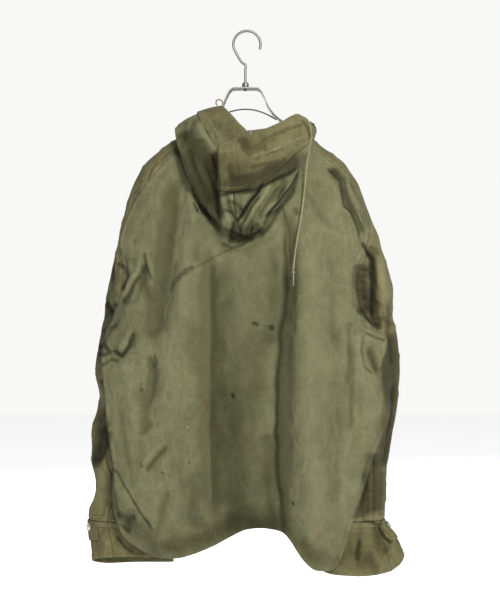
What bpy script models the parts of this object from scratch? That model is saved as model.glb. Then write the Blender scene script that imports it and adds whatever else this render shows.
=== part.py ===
"""Hooded deck parka hung by its shoulders on a metal hanger, its back towards -Y.

The frame is in metres. The origin is the inside top of the hanger's hook, +Z is up and +X is
right as the back is looked at. Tables are in millimetres, and a drop is measured down from the
origin. Every cloth piece is one sheet with a wall, cut as a maker would cut it, and the sheets
stop SEAM_GAP apart at their seams.
"""

import math

import bmesh
import bpy
import numpy as np
from mathutils import Vector

MM = 0.001

# Cloth and seams
WALL = 2.0
SEAM_GAP = 0.35
ON_PANEL = WALL + 0.5
LAP = WALL + 3 * SEAM_GAP
UNDERARM_DROP = 571.0
CUFF_SEAM_DROP = 957.0

# Rows along each piece, from the neck to the underarm and from there to the hem or cuff
RAGLAN_ROWS = 13
SIDE_ROWS = 22
ARM_ROWS = 19
BACK_COLUMNS = 29
ARM_COLUMNS = 17

# Shoulder and arm rings of each side, in plan: centre, half sizes, and where the sleeve's two
# long edges lie on the ring. 0 degrees faces the back, 90 the outer side, 180 the front.
# drop, centre_x, centre_y, half_x, half_y, back_edge, front_edge
ARM_RIGHT = (
    (187, 58, 2, 44, 36, 30, 150),
    (216, 80, 2, 56, 35, 33, 147),
    (249, 118, 2, 62, 34, 34, 146),
    (286, 150, 3, 59, 35, 45, 135),
    (348, 175, 5, 61, 40, 54, 130),
    (405, 203, 10, 55, 44, 45, 172),
    (448, 218, 18, 53, 48, -2, 212),
    (483, 228, 27, 54, 52, -16, 245),
    (528, 232, 48, 57, 58, -17, 300),
    (571, 234, 66, 60, 60, 9, 369),
    (600, 235, 72, 65, 60, 10, 370),
    (647, 236, 72, 68, 60, 9, 369),
    (717, 232, 68, 71, 56, 12, 372),
    (803, 216, 61, 73, 50, 25, 385),
    (865, 206, 54, 73, 42, 35, 395),
    (957, 205, 45, 67, 33, 40, 400),
)
ARM_LEFT = (
    (187, 60, 2, 44, 36, 28, 152),
    (216, 90, 2, 60, 35, 20, 160),
    (249, 128, 2, 63, 34, 20, 160),
    (286, 160, 3, 56, 35, 24, 150),
    (348, 178, 5, 58, 40, 57, 130),
    (405, 198, 10, 52, 44, 68, 172),
    (448, 208, 18, 54, 48, 39, 212),
    (483, 215, 27, 56, 52, 27, 245),
    (528, 222, 48, 59, 58, 29, 312),
    (571, 228, 66, 61, 60, 42, 402),
    (600, 230, 72, 64, 60, 34, 394),
    (647, 236, 72, 68, 60, 28, 388),
    (717, 232, 68, 68, 56, 26, 386),
    (803, 240, 61, 79, 50, 26, 386),
    (834, 240, 58, 79, 46, 26, 386),
    (882, 228, 52, 72, 40, 26, 386),
    (957, 243, 45, 71, 34, 26, 386),
)

# Side seams below the underarm: share of the way down, drop, distance from the middle, depth
SEAM_RIGHT = (
    (0.00, 571, 243, 4),
    (0.05, 594, 266, -5),
    (0.12, 624, 268, -9),
    (0.28, 700, 274, -10),
    (0.44, 775, 266, -11),
    (0.54, 824, 246, -12),
    (0.60, 853, 237, -12),
    (0.72, 908, 220, -13),
    (0.80, 947, 206, -13),
    (0.92, 1004, 189, -13),
    (1.00, 1037, 174, -13),
)
SEAM_LEFT = (
    (0.00, 571, 269, 4),
    (0.08, 610, 280, -8),
    (0.28, 697, 277, -10),
    (0.50, 795, 267, -11),
    (0.61, 845, 259, -12),
    (0.73, 896, 261, -12),
    (0.84, 945, 254, -12),
    (0.91, 974, 242, -13),
    (0.96, 992, 225, -13),
    (1.00, 1016, 186, -13),
)

# The hem hangs in two lobes: distance from the middle, drop
HEM = (
    (-186, 1016),
    (-160, 1018),
    (-135, 1017),
    (-109, 1010),
    (-61, 989),
    (-32, 974),
    (-4, 960),
    (21, 956),
    (44, 958),
    (76, 972),
    (101, 1010),
    (125, 1037),
    (145, 1043),
    (160, 1043),
    (174, 1037),
)

# Depth of the body at its middle line: drop, back, front
BODY_DEPTH = (
    (187, 43, 50),
    (250, 47, 52),
    (330, 54, 52),
    (450, 58, 50),
    (571, 61, 47),
    (700, 62, 44),
    (850, 59, 40),
    (1050, 50, 32),
)
FRONT_SWELL = 190.0
BACK_NECK_DROP = 211.0
FRONT_NECK_DROP = 256.0
FRONT_HEM_RISE = 7.0
SLEEVE_CLEAR = 4.2
UNDERARM_DEPTH = -2.0
# Columns of a front, as shares of its width from the side edge to the opening
FRONT_SHARES = (0.0, 0.05, 0.13, 0.26, 0.40, 0.55, 0.70, 0.85, 1.0)

# Long soft folds of the body: x and drop of both ends, half width, depth (negative is a ridge)
BACK_FOLDS = (
    (-112, 262, -160, 590, 17, 7),
    (-92, 275, -128, 560, 14, -4),
    (-52, 560, -34, 975, 20, 6),
    (-72, 620, -66, 1010, 18, -4),
    (66, 360, 88, 985, 22, 7),
    (98, 470, 122, 1030, 18, -5),
    (150, 640, 168, 1000, 20, 4),
    (-170, 620, -150, 1000, 24, 4),
    (-253, 850, -182, 975, 10, 7),
    (28, 640, 22, 960, 16, -3),
    (-240, 588, -262, 640, 14, 5),
)
FRONT_FOLDS = (
    (-96, 330, -84, 980, 20, -5),
    (-58, 420, -48, 960, 16, 4),
    (62, 380, 50, 950, 17, 4),
    (100, 340, 90, 1000, 20, -5),
    (140, 620, 120, 1010, 15, 3),
    (-142, 640, -124, 1000, 15, 3),
)

# Folds of the sleeves: ring angle and drop of both ends, half width in degrees, depth
ARM_FOLDS_RIGHT = (
    (42, 385, 16, 470, 15, 13),
    (16, 470, 24, 585, 14, 14),
    (376, 470, 384, 585, 14, 14),
    (55, 620, 66, 900, 16, 5),
    (118, 560, 124, 930, 20, 6),
    (190, 600, 176, 900, 22, -5),
    (250, 640, 262, 900, 20, 6),
)
ARM_FOLDS_LEFT = (
    (52, 440, 60, 560, 13, 8),
    (60, 700, 86, 850, 18, 9),
    (112, 600, 96, 930, 20, 6),
    (196, 600, 180, 900, 22, -5),
    (250, 640, 262, 900, 20, 6),
)

# Cuffs: share of the way down, centre_x, centre_y, half_x, half_y
CUFF_RIGHT = (
    (0.0, 205, 45, 67, 33),
    (0.12, 206, 44, 68, 33),
    (0.35, 217, 41, 72, 31),
    (0.70, 227, 38, 77, 29),
    (1.0, 232, 36, 79, 28),
)
CUFF_LEFT = (
    (0.0, 243, 45, 71, 34),
    (0.35, 236, 42, 76, 33),
    (0.70, 230, 40, 78, 31),
    (1.0, 226, 38, 79, 30),
)
# How far down the cuff's free edge lies round the ring: angle, drop
CUFF_EDGE_RIGHT = (
    (-40, 1062),
    (0, 1062),
    (45, 1052),
    (90, 1027),
    (135, 1036),
    (180, 1050),
    (270, 1058),
    (320, 1062),
    (360, 1062),
    (405, 1052),
)
CUFF_EDGE_LEFT = (
    (-40, 1026),
    (0, 1024),
    (45, 1028),
    (90, 1038),
    (135, 1048),
    (180, 1048),
    (270, 1040),
    (320, 1026),
    (360, 1024),
    (405, 1028),
)
CUFF_ROWS = 7
CUFF_GAP = 1.0

# The hood dropped on the back, from the centre front round by the left side. Each row is a
# section from the neck seam down to the pouch's fold and up again to the face edge.
# neck: share of the way round the neckline; fold and rim: x, depth, drop; belly: how far the
# outer layer stands out between them
# neck, fold_x, fold_y, fold_drop, rim_x, rim_y, rim_drop, belly
HOOD = (
    (0.015, -12, 64, 262, -12, 71, 236, 2),
    (0.110, -58, 63, 245, -52, 66, 206, 4),
    (0.200, -98, 42, 200, -78, 40, 170, 6),
    (0.280, -120, 8, 186, -80, 8, 158, 8),
    (0.350, -138, -34, 196, -52, -24, 151, 10),
    (0.400, -119, -64, 266, -34, -42, 163, 4),
    (0.435, -81, -69, 342, -14, -56, 186, -8),
    (0.460, -41, -73, 379, 0, -66, 205, -4),
    (0.475, -39, -78, 381, -26, -78, 219, 2),
    (0.490, -44, -84, 379, -52, -92, 230, 4),
    (0.515, -13, -86, 392, -26, -100, 226, 10),
    (0.545, 6, -86, 392, 1, -102, 216, 12),
    (0.580, 29, -82, 379, 34, -103, 204, 14),
    (0.615, 54, -76, 349, 66, -98, 189, 14),
    (0.655, 84, -68, 304, 96, -88, 174, 10),
    (0.695, 117, -52, 236, 127, -56, 197, 6),
    (0.755, 126, 4, 199, 119, 0, 176, 5),
    (0.850, 92, 46, 208, 80, 44, 178, 6),
    (0.930, 52, 62, 246, 48, 66, 208, 4),
    (0.985, 12, 64, 262, 12, 71, 236, 2),
)
HOOD_SEAM_ROW = 10
HOOD_STEPS = 2
HOOD_CREST_OUT = 7.0
HOOD_CREST_UP = 9.0
HOOD_FOLD_ROUND = 7.0
HOOD_LEAN = 4.0
# The outer layer between the fold and the rim: share of the way, of the belly, of the fold's round
HOOD_BETWEEN = (
    (0.20, 0.7, 0.5),
    (0.50, 1.0, 0.0),
    (0.75, 0.8, 0.0),
)
HOOD_COLUMNS = 15
BAND_COLUMNS = 5
# How much of its lowest column the band takes: row of the table above, share
BAND_SHARE = (
    (0, 0.2),
    (8, 0.2),
    (9, 1.0),
    (14, 1.0),
    (17, 0.2),
    (19, 0.2),
)

# Fly over the front opening, with its press studs
FLY_WIDTH = 62.0
FLY_COLUMNS = 5
FLY_LIFT = 0.4
STUD_RADIUS = 7.5
STUD_HEIGHT = 3.0
STUD_GAP = 0.9
CUFF_STUD_GAPS = {"left": 0.5, "right": 1.8}
STUD_COUNT = 5
STUD_FIRST_DROP = 300.0
STUD_PITCH = 150.0

# Cuff tabs, as first and last row and column of the cuff's own grid
TAB_ROWS = (0, 3)
TAB_COLUMNS = (1, 4)

# Drawcord: x, depth, drop of the points that its middle passes
CORD_RADIUS = 1.4
CORD_ROUTE = (
    (104, -99.5, 180),
    (112, -98, 184),
    (119, -90, 196),
    (121, -76, 216),
    (117, -66, 242),
    (113, -60.5, 275),
    (109.5, -59.5, 312),
    (105, -61, 350),
    (98, -63.5, 392),
    (92, -65, 430),
    (88, -66, 466),
)
CORD_SPACING = 8.2
KNOT_RADIUS = 3.6
# The knot's profile: radius, depth under the cord's end
KNOT = (
    (1.5, -7.5),
    (KNOT_RADIUS, -5.0),
    (KNOT_RADIUS, -2.0),
    (1.5, 0.0),
)
AGLET_RADIUS = 2.0
AGLET_LENGTH = 21.0
LOOP_ROUTE = (
    (-58, -24.5, 146.8),
    (-59.5, -27, 141),
    (-56.5, -29.5, 136.8),
    (-50, -31.5, 137.5),
    (-46.5, -33, 143),
    (-48.5, -35, 150.8),
)
LOOP_SPACING = 2.4

# Hanger
HOOK_WIRE_RADIUS = 2.5
HOOK_BEND_RADIUS = 26.5
HOOK_TIP_ANGLE = -20.0
HOOK_TURN_ANGLE = 200.0
HOOK_BEND_POINTS = 22
# Between the bend and the stem: share of the bend's end, and how far the wire leans out there
HOOK_LEAN_SHARE = 0.35
HOOK_LEAN_OUT = 1.5
STEM_X = -3.0
STEM_TOP_DROP = 68.0
STEM_FOOT_DROP = 98.0
FERRULE_RADIUS = 6.5
FERRULE_HEIGHT = 10.0
STRIP_WIDTH = 30.0
STRIP_THICKNESS = 2.6
FRAME_TOP_DROP = 110.5
FRAME_TOP_HALF = 26.0
FRAME_LEG_HALF = 44.0
FRAME_LEG_DROP = 146.0
FRAME_NECK_HALF = 62.0
FRAME_NECK_DROP = 169.0
FRAME_SHOULDER_HALF = 139.0
FRAME_SHOULDER_DROP = 226.0
FRAME_TIP_HALF = 196.0
FRAME_TIP_DROP = 279.0
ARC_RADIUS = 1.5
ARC_APEX_DROP = 150.0
ARC_END_DROP = 171.6
ARC_END_HALF = 62.0
ARC_POINTS = 15
BOLT_RADIUS = 3.2
BOLT_HEIGHT = 2.4

OLIVE = (0.115, 0.118, 0.060, 1.0)
BROWN_OLIVE = (0.100, 0.088, 0.048, 1.0)
CORD_TAN = (0.230, 0.190, 0.105, 1.0)
STEEL = (0.560, 0.545, 0.520, 1.0)
DARK_STEEL = (0.060, 0.058, 0.055, 1.0)


def column(rows, index):
    return np.array([row[index] for row in rows], dtype=float)


def through(places, values, at):
    """Smooth curve through a table's values, read at one or more places."""
    places = np.asarray(places, dtype=float)
    values = np.asarray(values, dtype=float)
    at = np.clip(np.asarray(at, dtype=float), places[0], places[-1])
    steps = np.diff(places)
    rises = np.diff(values) / steps
    slopes = np.empty(len(places))
    slopes[1:-1] = (rises[:-1] * steps[1:] + rises[1:] * steps[:-1]) / (steps[1:] + steps[:-1])
    slopes[0] = rises[0]
    slopes[-1] = rises[-1]
    cell = np.clip(np.searchsorted(places, at, side="right") - 1, 0, len(places) - 2)
    width = steps[cell]
    t = (at - places[cell]) / width
    start = values[cell] * (1 + 2 * t) * (1 - t) ** 2
    end = values[cell + 1] * t**2 * (3 - 2 * t)
    lean = slopes[cell] * t * (1 - t) ** 2 - slopes[cell + 1] * t**2 * (1 - t)
    return start + end + lean * width


def smooth_step(t):
    t = np.clip(t, 0.0, 1.0)
    return t * t * (3 - 2 * t)


def fold_depth(folds, across, down):
    """Sum of soft troughs, each along a line and fading at both its ends."""
    depth = np.zeros(np.broadcast(across, down).shape)
    for start_across, start_down, end_across, end_down, half_width, deep in folds:
        along = (down - start_down) / (end_down - start_down)
        middle = start_across + (end_across - start_across) * along
        fade = smooth_step(along / 0.25 + 0.5) * smooth_step((1 - along) / 0.25 + 0.5)
        depth += deep * fade * np.exp(-(((across - middle) / half_width) ** 2))
    return depth


def raglan_drops():
    """Drops of the rows from the neck to the underarm."""
    return np.linspace(ARM_RIGHT[0][0], UNDERARM_DROP, RAGLAN_ROWS)


def ring_point(rows, side, drop, angle):
    """Middle of the cloth on a shoulder or arm ring."""
    drops = column(rows, 0)
    turn = np.radians(angle)
    centre_x = through(drops, column(rows, 1), drop)
    centre_y = through(drops, column(rows, 2), drop)
    half_x = through(drops, column(rows, 3), drop)
    half_y = through(drops, column(rows, 4), drop)
    folds = ARM_FOLDS_RIGHT if side > 0 else ARM_FOLDS_LEFT
    inward = fold_depth(folds, angle, drop)
    x = centre_x + (half_x - inward) * np.sin(turn)
    y = centre_y - (half_y - inward) * np.cos(turn)
    return np.stack(np.broadcast_arrays(side * x, y, -drop), axis=-1)


def ring_edges(rows, drop):
    drops = column(rows, 0)
    return through(drops, column(rows, 5), drop), through(drops, column(rows, 6), drop)


def sleeve_grid(rows, side):
    """Rows from the neck to the cuff, columns from the back edge round to the front edge."""
    below = np.linspace(UNDERARM_DROP, CUFF_SEAM_DROP, ARM_ROWS)[1:]
    drops = np.concatenate([raglan_drops(), below])
    back_edge, front_edge = ring_edges(rows, drops)
    share = np.linspace(0.0, 1.0, ARM_COLUMNS)
    angles = back_edge[:, None] + (front_edge - back_edge)[:, None] * share
    return ring_point(rows, side, drops[:, None], angles)


def side_edge(arm, seam, side, front):
    """The body's edge on one side: raglan seam, underarm, then side seam."""
    drops = raglan_drops()
    edges = ring_edges(arm, drops)
    raglan = ring_point(arm, side, drops, edges[1] if front else edges[0])
    down = np.linspace(0.0, 1.0, SIDE_ROWS)[1:]
    shares = column(seam, 0)
    x = through(shares, column(seam, 2), down)
    y = through(shares, column(seam, 3), down)
    drop = through(shares, column(seam, 1), down)
    below = np.stack([side * x, y, -drop], axis=-1)
    return np.concatenate([raglan, below])


def hem_drop(x):
    return through(column(HEM, 0), column(HEM, 1), x)


def hem_weight(rows):
    """How much a row bends towards the hem's own line."""
    weight = np.zeros(rows)
    below = np.linspace(0.0, 1.0, SIDE_ROWS)
    weight[-SIDE_ROWS:] = below**1.6
    return weight


def back_grid():
    """Rows from the neck to the hem, columns from the left edge to the right one."""
    left = side_edge(ARM_LEFT, SEAM_LEFT, -1, front=False)
    right = side_edge(ARM_RIGHT, SEAM_RIGHT, 1, front=False)
    share = np.linspace(0.0, 1.0, BACK_COLUMNS)
    share = share + 0.035 * np.sin(2 * np.pi * share)
    grid = left[:, None] + (right - left)[:, None] * share[:, None]
    rows = len(grid)
    off_middle = np.abs(2 * share - 1)
    neck = np.clip(1 - np.arange(rows) / (RAGLAN_ROWS - 1), 0, 1) ** 2
    sag = BACK_NECK_DROP - raglan_drops()[0]
    grid[:, :, 2] -= sag * neck[:, None] * (1 - off_middle**2.2)
    hem_gap = hem_drop(grid[-1, :, 0]) + grid[-1, :, 2]
    grid[:, :, 2] -= hem_weight(rows)[:, None] * hem_gap
    depth = through(column(BODY_DEPTH, 0), column(BODY_DEPTH, 1), -grid[:, :, 2])
    swell = (1 - off_middle**2.8) ** 0.75
    grid[:, :, 1] += (-depth - grid[:, :, 1]) * swell
    fold = fold_depth(BACK_FOLDS, grid[:, :, 0], -grid[:, :, 2])
    inside = smooth_step((1 - off_middle) / 0.12)
    grid[:, :, 1] += fold * inside
    return grid


def behind_sleeve(arm, across, drop):
    """Depth of the back of an arm ring at a distance from the body's middle."""
    drops = column(arm, 0)
    centre_x, centre_y, half_x, half_y = [through(drops, column(arm, i), drop) for i in (1, 2, 3, 4)]
    off = np.clip((across - centre_x) / half_x, -1, 1)
    return centre_y - half_y * np.sqrt(1 - off**2)


def front_grid(arm, seam, side):
    """One front: rows from the neck to the hem, columns from the side edge to the opening."""
    edge = side_edge(arm, seam, side, front=True)
    rows = len(edge)
    down = np.concatenate([np.zeros(RAGLAN_ROWS - 1), np.linspace(0, 1, SIDE_ROWS)])
    raglan = np.clip(np.arange(rows) / (RAGLAN_ROWS - 1), 0, 1)
    neck_to_arm = FRONT_NECK_DROP + (UNDERARM_DROP - FRONT_NECK_DROP) * raglan
    hem = hem_drop(0.0) - FRONT_HEM_RISE
    middle_drop = neck_to_arm + (hem - UNDERARM_DROP) * down
    share = np.array(FRONT_SHARES)
    grid = np.empty((rows, len(share), 3))
    grid[:, :, 0] = edge[:, None, 0] + (side * SEAM_GAP - edge[:, None, 0]) * share
    bend = share**1.3
    grid[:, :, 2] = edge[:, None, 2] + (-middle_drop[:, None] - edge[:, None, 2]) * bend
    hem_gap = hem_drop(grid[-1, :, 0]) - FRONT_HEM_RISE * smooth_step(share / 0.3) + grid[-1, :, 2]
    grid[:, :, 2] -= hem_weight(rows)[:, None] * hem_gap
    depth = through(column(BODY_DEPTH, 0), column(BODY_DEPTH, 2), -grid[:, :, 2])
    swell = np.cos(np.pi / 2 * np.clip(np.abs(grid[:, :, 0]) / FRONT_SWELL, 0, 1)) ** 2
    swell *= smooth_step(share / 0.25)
    base = edge[:, 1].copy()
    base[RAGLAN_ROWS - 2 : RAGLAN_ROWS] = UNDERARM_DEPTH
    base = edge[:, None, 1] + (base - edge[:, 1])[:, None] * smooth_step(share / 0.13)
    grid[:, :, 1] = base + (depth - base) * swell
    fold = fold_depth(FRONT_FOLDS, grid[:, :, 0], -grid[:, :, 2])
    grid[:, :, 1] -= fold * smooth_step(share / 0.3)
    under_arm = grid[RAGLAN_ROWS - 2 :, 1:]
    sleeve = behind_sleeve(arm, side * under_arm[:, :, 0], -under_arm[:, :, 2])
    under_arm[:, :, 1] = np.minimum(under_arm[:, :, 1], sleeve - SLEEVE_CLEAR)
    return grid


def cuff_grid(arm, cuff, free_edge, side):
    """Rows from the sleeve down to the free edge, columns round the band."""
    angles = np.linspace(*ring_edges(arm, CUFF_SEAM_DROP), ARM_COLUMNS)
    shares = np.linspace(0.0, 1.0, CUFF_ROWS)
    turn = np.radians(angles)
    places = column(cuff, 0)
    sizes = [through(places, column(cuff, index), shares)[:, None] for index in (1, 2, 3, 4)]
    centre_x, centre_y, half_x, half_y = sizes
    x = side * (centre_x + half_x * np.sin(turn))
    y = centre_y - half_y * np.cos(turn)
    edge_angle = (angles + 40) % 360 - 40
    edge = through(column(free_edge, 0), column(free_edge, 1), edge_angle)
    top = CUFF_SEAM_DROP + CUFF_GAP
    drop = top + (edge - top) * shares[:, None]
    return np.stack(np.broadcast_arrays(x, y, -drop), axis=-1)


def neckline(back, fronts, sleeves):
    """The yoke's top edge from the centre front round by the left side, as points."""
    front_left, front_right = fronts
    sleeve_left, sleeve_right = sleeves
    return np.concatenate(
        [
            front_left[0, ::-1],
            sleeve_left[0, ::-1],
            back[0],
            sleeve_right[0],
            front_right[0],
        ]
    )


def along(points, shares):
    """Points at given shares of a line's length."""
    steps = np.linalg.norm(np.diff(points, axis=0), axis=1)
    length = np.concatenate([[0.0], np.cumsum(steps)])
    return np.stack(
        [np.interp(np.asarray(shares) * length[-1], length, points[:, i]) for i in range(3)],
        axis=-1,
    )


def hood_grid(neck_line):
    """Rows go round the neck, columns from the neck seam over the fold to the face edge."""
    places = np.arange(len(HOOD), dtype=float)
    at = np.linspace(0, len(HOOD) - 1, (len(HOOD) - 1) * HOOD_STEPS + 1)
    table = np.stack([through(places, column(HOOD, i), at) for i in range(8)], axis=-1)
    neck = along(neck_line, table[:, 0])
    fold = table[:, [1, 2, 3]] * (1, 1, -1)
    rim = table[:, [4, 5, 6]] * (1, 1, -1)
    belly = table[:, 7:8]
    away = neck * (1, 1, 0)
    away[:, 1] -= HOOD_LEAN
    away /= np.linalg.norm(away, axis=1)[:, None]
    up = np.array([0.0, 0.0, 1.0])
    seam = neck + up * (SEAM_GAP + WALL)
    crest = neck + away * HOOD_CREST_OUT + up * HOOD_CREST_UP
    into_fold = fold - crest
    into_fold /= np.linalg.norm(into_fold, axis=1)[:, None]
    outward = rim - crest
    outward -= into_fold * np.sum(outward * into_fold, axis=1)[:, None]
    outward /= np.linalg.norm(outward, axis=1)[:, None]
    near = fold - into_fold * HOOD_FOLD_ROUND
    middle = (crest + near) / 2
    stations = [seam, crest, middle, near, fold]
    for way, full, rounded in HOOD_BETWEEN:
        stand = belly * full + HOOD_FOLD_ROUND * rounded
        stations.append(fold + (rim - fold) * way + outward * stand)
    stations.append(rim)
    return np.stack(stations, axis=1)


def refine(grid, steps):
    """A grid's columns read again from smooth curves through them."""
    rows, stations, _ = grid.shape
    places = np.arange(stations, dtype=float)
    at = np.linspace(0, stations - 1, steps)
    fine = np.empty((rows, steps, 3))
    for row in range(rows):
        for axis in range(3):
            fine[row, :, axis] = through(places, grid[row, :, axis], at)
    return fine


def normals_of(grid, outward):
    """Unit normals of a grid, turned by the sign outward."""
    across = np.gradient(grid, axis=1)
    down = np.gradient(grid, axis=0)
    normal = np.cross(down, across)
    length = np.linalg.norm(normal, axis=2, keepdims=True)
    return outward * normal / np.maximum(length, 1e-9)


def share_normals(first, second):
    """Gives two edges that are sewn together one set of normals."""
    total = first + second
    length = np.linalg.norm(total, axis=-1, keepdims=True)
    total = np.where(length > 0.2, total / np.maximum(length, 1e-9), first)
    first[...] = total
    second[...] = total


def stack_underarm(back_edge, front_edge, sleeve_edge):
    """At the underarm and below it the edges lie over each other: sleeve, front, then back."""
    corner = RAGLAN_ROWS - 1
    sleeve_edge[corner - 1, 1] += LAP / 2
    front_edge[corner - 1, 1] -= LAP / 2
    front_edge[corner, 1] -= LAP
    back_edge[corner, 1] -= 2 * LAP
    front_edge[corner + 1 :, 1] += LAP / 2
    back_edge[corner + 1 :, 1] -= LAP / 2


def draw_back(edge, neighbour, distance=0.7 * SEAM_GAP):
    """Moves an edge towards the line beside it."""
    inward = neighbour - edge
    length = np.linalg.norm(inward, axis=-1, keepdims=True)
    edge += inward / np.maximum(length, 1e-9) * distance


def material(name, colour, roughness, metallic=0.0):
    made = bpy.data.materials.new(name)
    made.use_nodes = True
    shader = made.node_tree.nodes["Principled BSDF"]
    shader.inputs["Base Color"].default_value = colour
    shader.inputs["Roughness"].default_value = roughness
    shader.inputs["Metallic"].default_value = metallic
    made.diffuse_color = colour
    return made


def finish(name, mesh, finish_material, smooth=True):
    """Puts a bmesh into the scene as one named object."""
    data = bpy.data.meshes.new(name)
    mesh.to_mesh(data)
    mesh.free()
    for face in data.polygons:
        face.use_smooth = smooth
    data.materials.append(finish_material)
    made = bpy.data.objects.new(name, data)
    bpy.context.scene.collection.objects.link(made)
    return made


def cloth(name, grid, normals, finish_material, lift=0.0):
    """A sheet with a wall: a grid of points thickened both ways along its normals."""
    mesh = bmesh.new()
    across = grid[0, 1] - grid[0, 0]
    turned = np.dot(np.cross(grid[1, 0] - grid[0, 0], across), normals[0, 0]) < 0
    rows, columns, _ = grid.shape
    layers = []
    for offset in (lift + WALL / 2, lift - WALL / 2):
        points = (grid + normals * offset) * MM
        layers.append([[mesh.verts.new(points[i, j]) for j in range(columns)] for i in range(rows)])
    outer, inner = layers[::-1] if turned else layers
    for i in range(rows - 1):
        for j in range(columns - 1):
            mesh.faces.new((outer[i][j], outer[i + 1][j], outer[i + 1][j + 1], outer[i][j + 1]))
            mesh.faces.new((inner[i][j], inner[i][j + 1], inner[i + 1][j + 1], inner[i + 1][j]))
    border = [(0, j) for j in range(columns)]
    border += [(i, columns - 1) for i in range(1, rows)]
    border += [(rows - 1, j) for j in range(columns - 2, -1, -1)]
    border += [(i, 0) for i in range(rows - 2, 0, -1)]
    for (i, j), (k, m) in zip(border, border[1:] + border[:1]):
        mesh.faces.new((outer[i][j], outer[k][m], inner[k][m], inner[i][j]))
    return finish(name, mesh, finish_material)


def lathe(name, profile, base, axis, finish_material, segments=10):
    """A turned piece: (radius, height) pairs spun about an axis, closed at both ends."""
    mesh = bmesh.new()
    turn = Vector((0, 0, 1)).rotation_difference(Vector(axis)).to_matrix()
    rings = []
    for radius, height in profile:
        ring = []
        for step in range(segments):
            angle = 2 * math.pi * step / segments
            point = Vector((radius * math.cos(angle), radius * math.sin(angle), height))
            ring.append(mesh.verts.new((turn @ point + Vector(base)) * MM))
        rings.append(ring)
    for low, high in zip(rings, rings[1:]):
        for step in range(segments):
            after = (step + 1) % segments
            mesh.faces.new((low[step], low[after], high[after], high[step]))
    mesh.faces.new(rings[0][::-1])
    mesh.faces.new(rings[-1])
    bmesh.ops.recalc_face_normals(mesh, faces=mesh.faces)
    return finish(name, mesh, finish_material, smooth=False)


def route_points(route, spacing):
    """Evenly spaced points on a smooth curve through a route."""
    route = np.array(route, dtype=float) * (1, 1, -1)
    steps = np.linalg.norm(np.diff(route, axis=0), axis=1)
    places = np.concatenate([[0.0], np.cumsum(steps)])
    fine_at = np.linspace(0, places[-1], 400)
    fine = np.stack([through(places, route[:, i], fine_at) for i in range(3)], axis=-1)
    length = np.linalg.norm(np.diff(fine, axis=0), axis=1).sum()
    count = max(4, round(length / spacing) + 1)
    return along(fine, np.linspace(0, 1, count))


def tube(name, points, radius, finish_material, resolution=2):
    """A round cord or wire along points, as a curve with filled ends."""
    data = bpy.data.curves.new(name, "CURVE")
    data.dimensions = "3D"
    data.bevel_depth = radius * MM
    data.bevel_resolution = resolution
    data.use_fill_caps = True
    spline = data.splines.new("POLY")
    spline.points.add(len(points) - 1)
    for place, point in zip(spline.points, points):
        place.co = (*(point * MM), 1.0)
    data.materials.append(finish_material)
    made = bpy.data.objects.new(name, data)
    bpy.context.scene.collection.objects.link(made)
    return made


def strip(name, path, width, thickness, finish_material):
    """A flat metal strip bent along a path in the XZ plane."""
    mesh = bmesh.new()
    path = np.array(path, dtype=float)
    direction = np.gradient(path, axis=0)
    direction /= np.linalg.norm(direction, axis=1)[:, None]
    across = np.stack([-direction[:, 1], direction[:, 0]], axis=-1)
    rings = []
    for point, side in zip(path, across):
        ring = []
        for depth, rise in ((-1, -1), (1, -1), (1, 1), (-1, 1)):
            x, z = point + side * rise * thickness / 2
            ring.append(mesh.verts.new(Vector((x, depth * width / 2, z)) * MM))
        rings.append(ring)
    for first, second in zip(rings, rings[1:]):
        for step in range(4):
            after = (step + 1) % 4
            mesh.faces.new((first[step], first[after], second[after], second[step]))
    mesh.faces.new(rings[0][::-1])
    mesh.faces.new(rings[-1])
    bmesh.ops.recalc_face_normals(mesh, faces=mesh.faces)
    return finish(name, mesh, finish_material, smooth=False)


def hook_points():
    """Middle of the hook's wire from its tip over the bend and down to the stem's foot."""
    centre = (0.0, HOOK_WIRE_RADIUS - HOOK_BEND_RADIUS)
    angles = np.radians(np.linspace(HOOK_TIP_ANGLE, HOOK_TURN_ANGLE, HOOK_BEND_POINTS))
    bend = np.stack(
        [
            centre[0] + HOOK_BEND_RADIUS * np.cos(angles),
            np.zeros(len(angles)),
            centre[1] + HOOK_BEND_RADIUS * np.sin(angles),
        ],
        axis=-1,
    )
    stem_top = np.array([STEM_X, 0.0, -STEM_TOP_DROP])
    stem_foot = np.array([STEM_X, 0.0, -STEM_FOOT_DROP])
    lean = bend[-1] * HOOK_LEAN_SHARE + stem_top * (1 - HOOK_LEAN_SHARE)
    lean[0] -= HOOK_LEAN_OUT
    return np.vstack([bend, lean, stem_top + (0, 0, 4), stem_top - (0, 0, 6), stem_foot])


def frame_path():
    """The strip of the hanger's frame from one shoulder over the neck to the other."""
    half = [
        (FRAME_TIP_HALF, FRAME_TIP_DROP + 4),
        (FRAME_TIP_HALF - 8, FRAME_TIP_DROP - 6),
        (FRAME_SHOULDER_HALF, FRAME_SHOULDER_DROP),
        (FRAME_NECK_HALF + 6, FRAME_NECK_DROP + 3),
        (FRAME_NECK_HALF - 7, FRAME_NECK_DROP - 8),
        (FRAME_LEG_HALF, FRAME_LEG_DROP),
        ((FRAME_LEG_HALF + FRAME_TOP_HALF) / 2 + 2, (FRAME_LEG_DROP + FRAME_TOP_DROP) / 2),
        (FRAME_TOP_HALF + 5, FRAME_TOP_DROP + 6),
        (FRAME_TOP_HALF - 1, FRAME_TOP_DROP + 1),
        (FRAME_TOP_HALF - 8, FRAME_TOP_DROP),
    ]
    left = [(STEM_X - x, -drop) for x, drop in half]
    right = [(STEM_X + x, -drop) for x, drop in reversed(half)]
    return left + right


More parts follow.
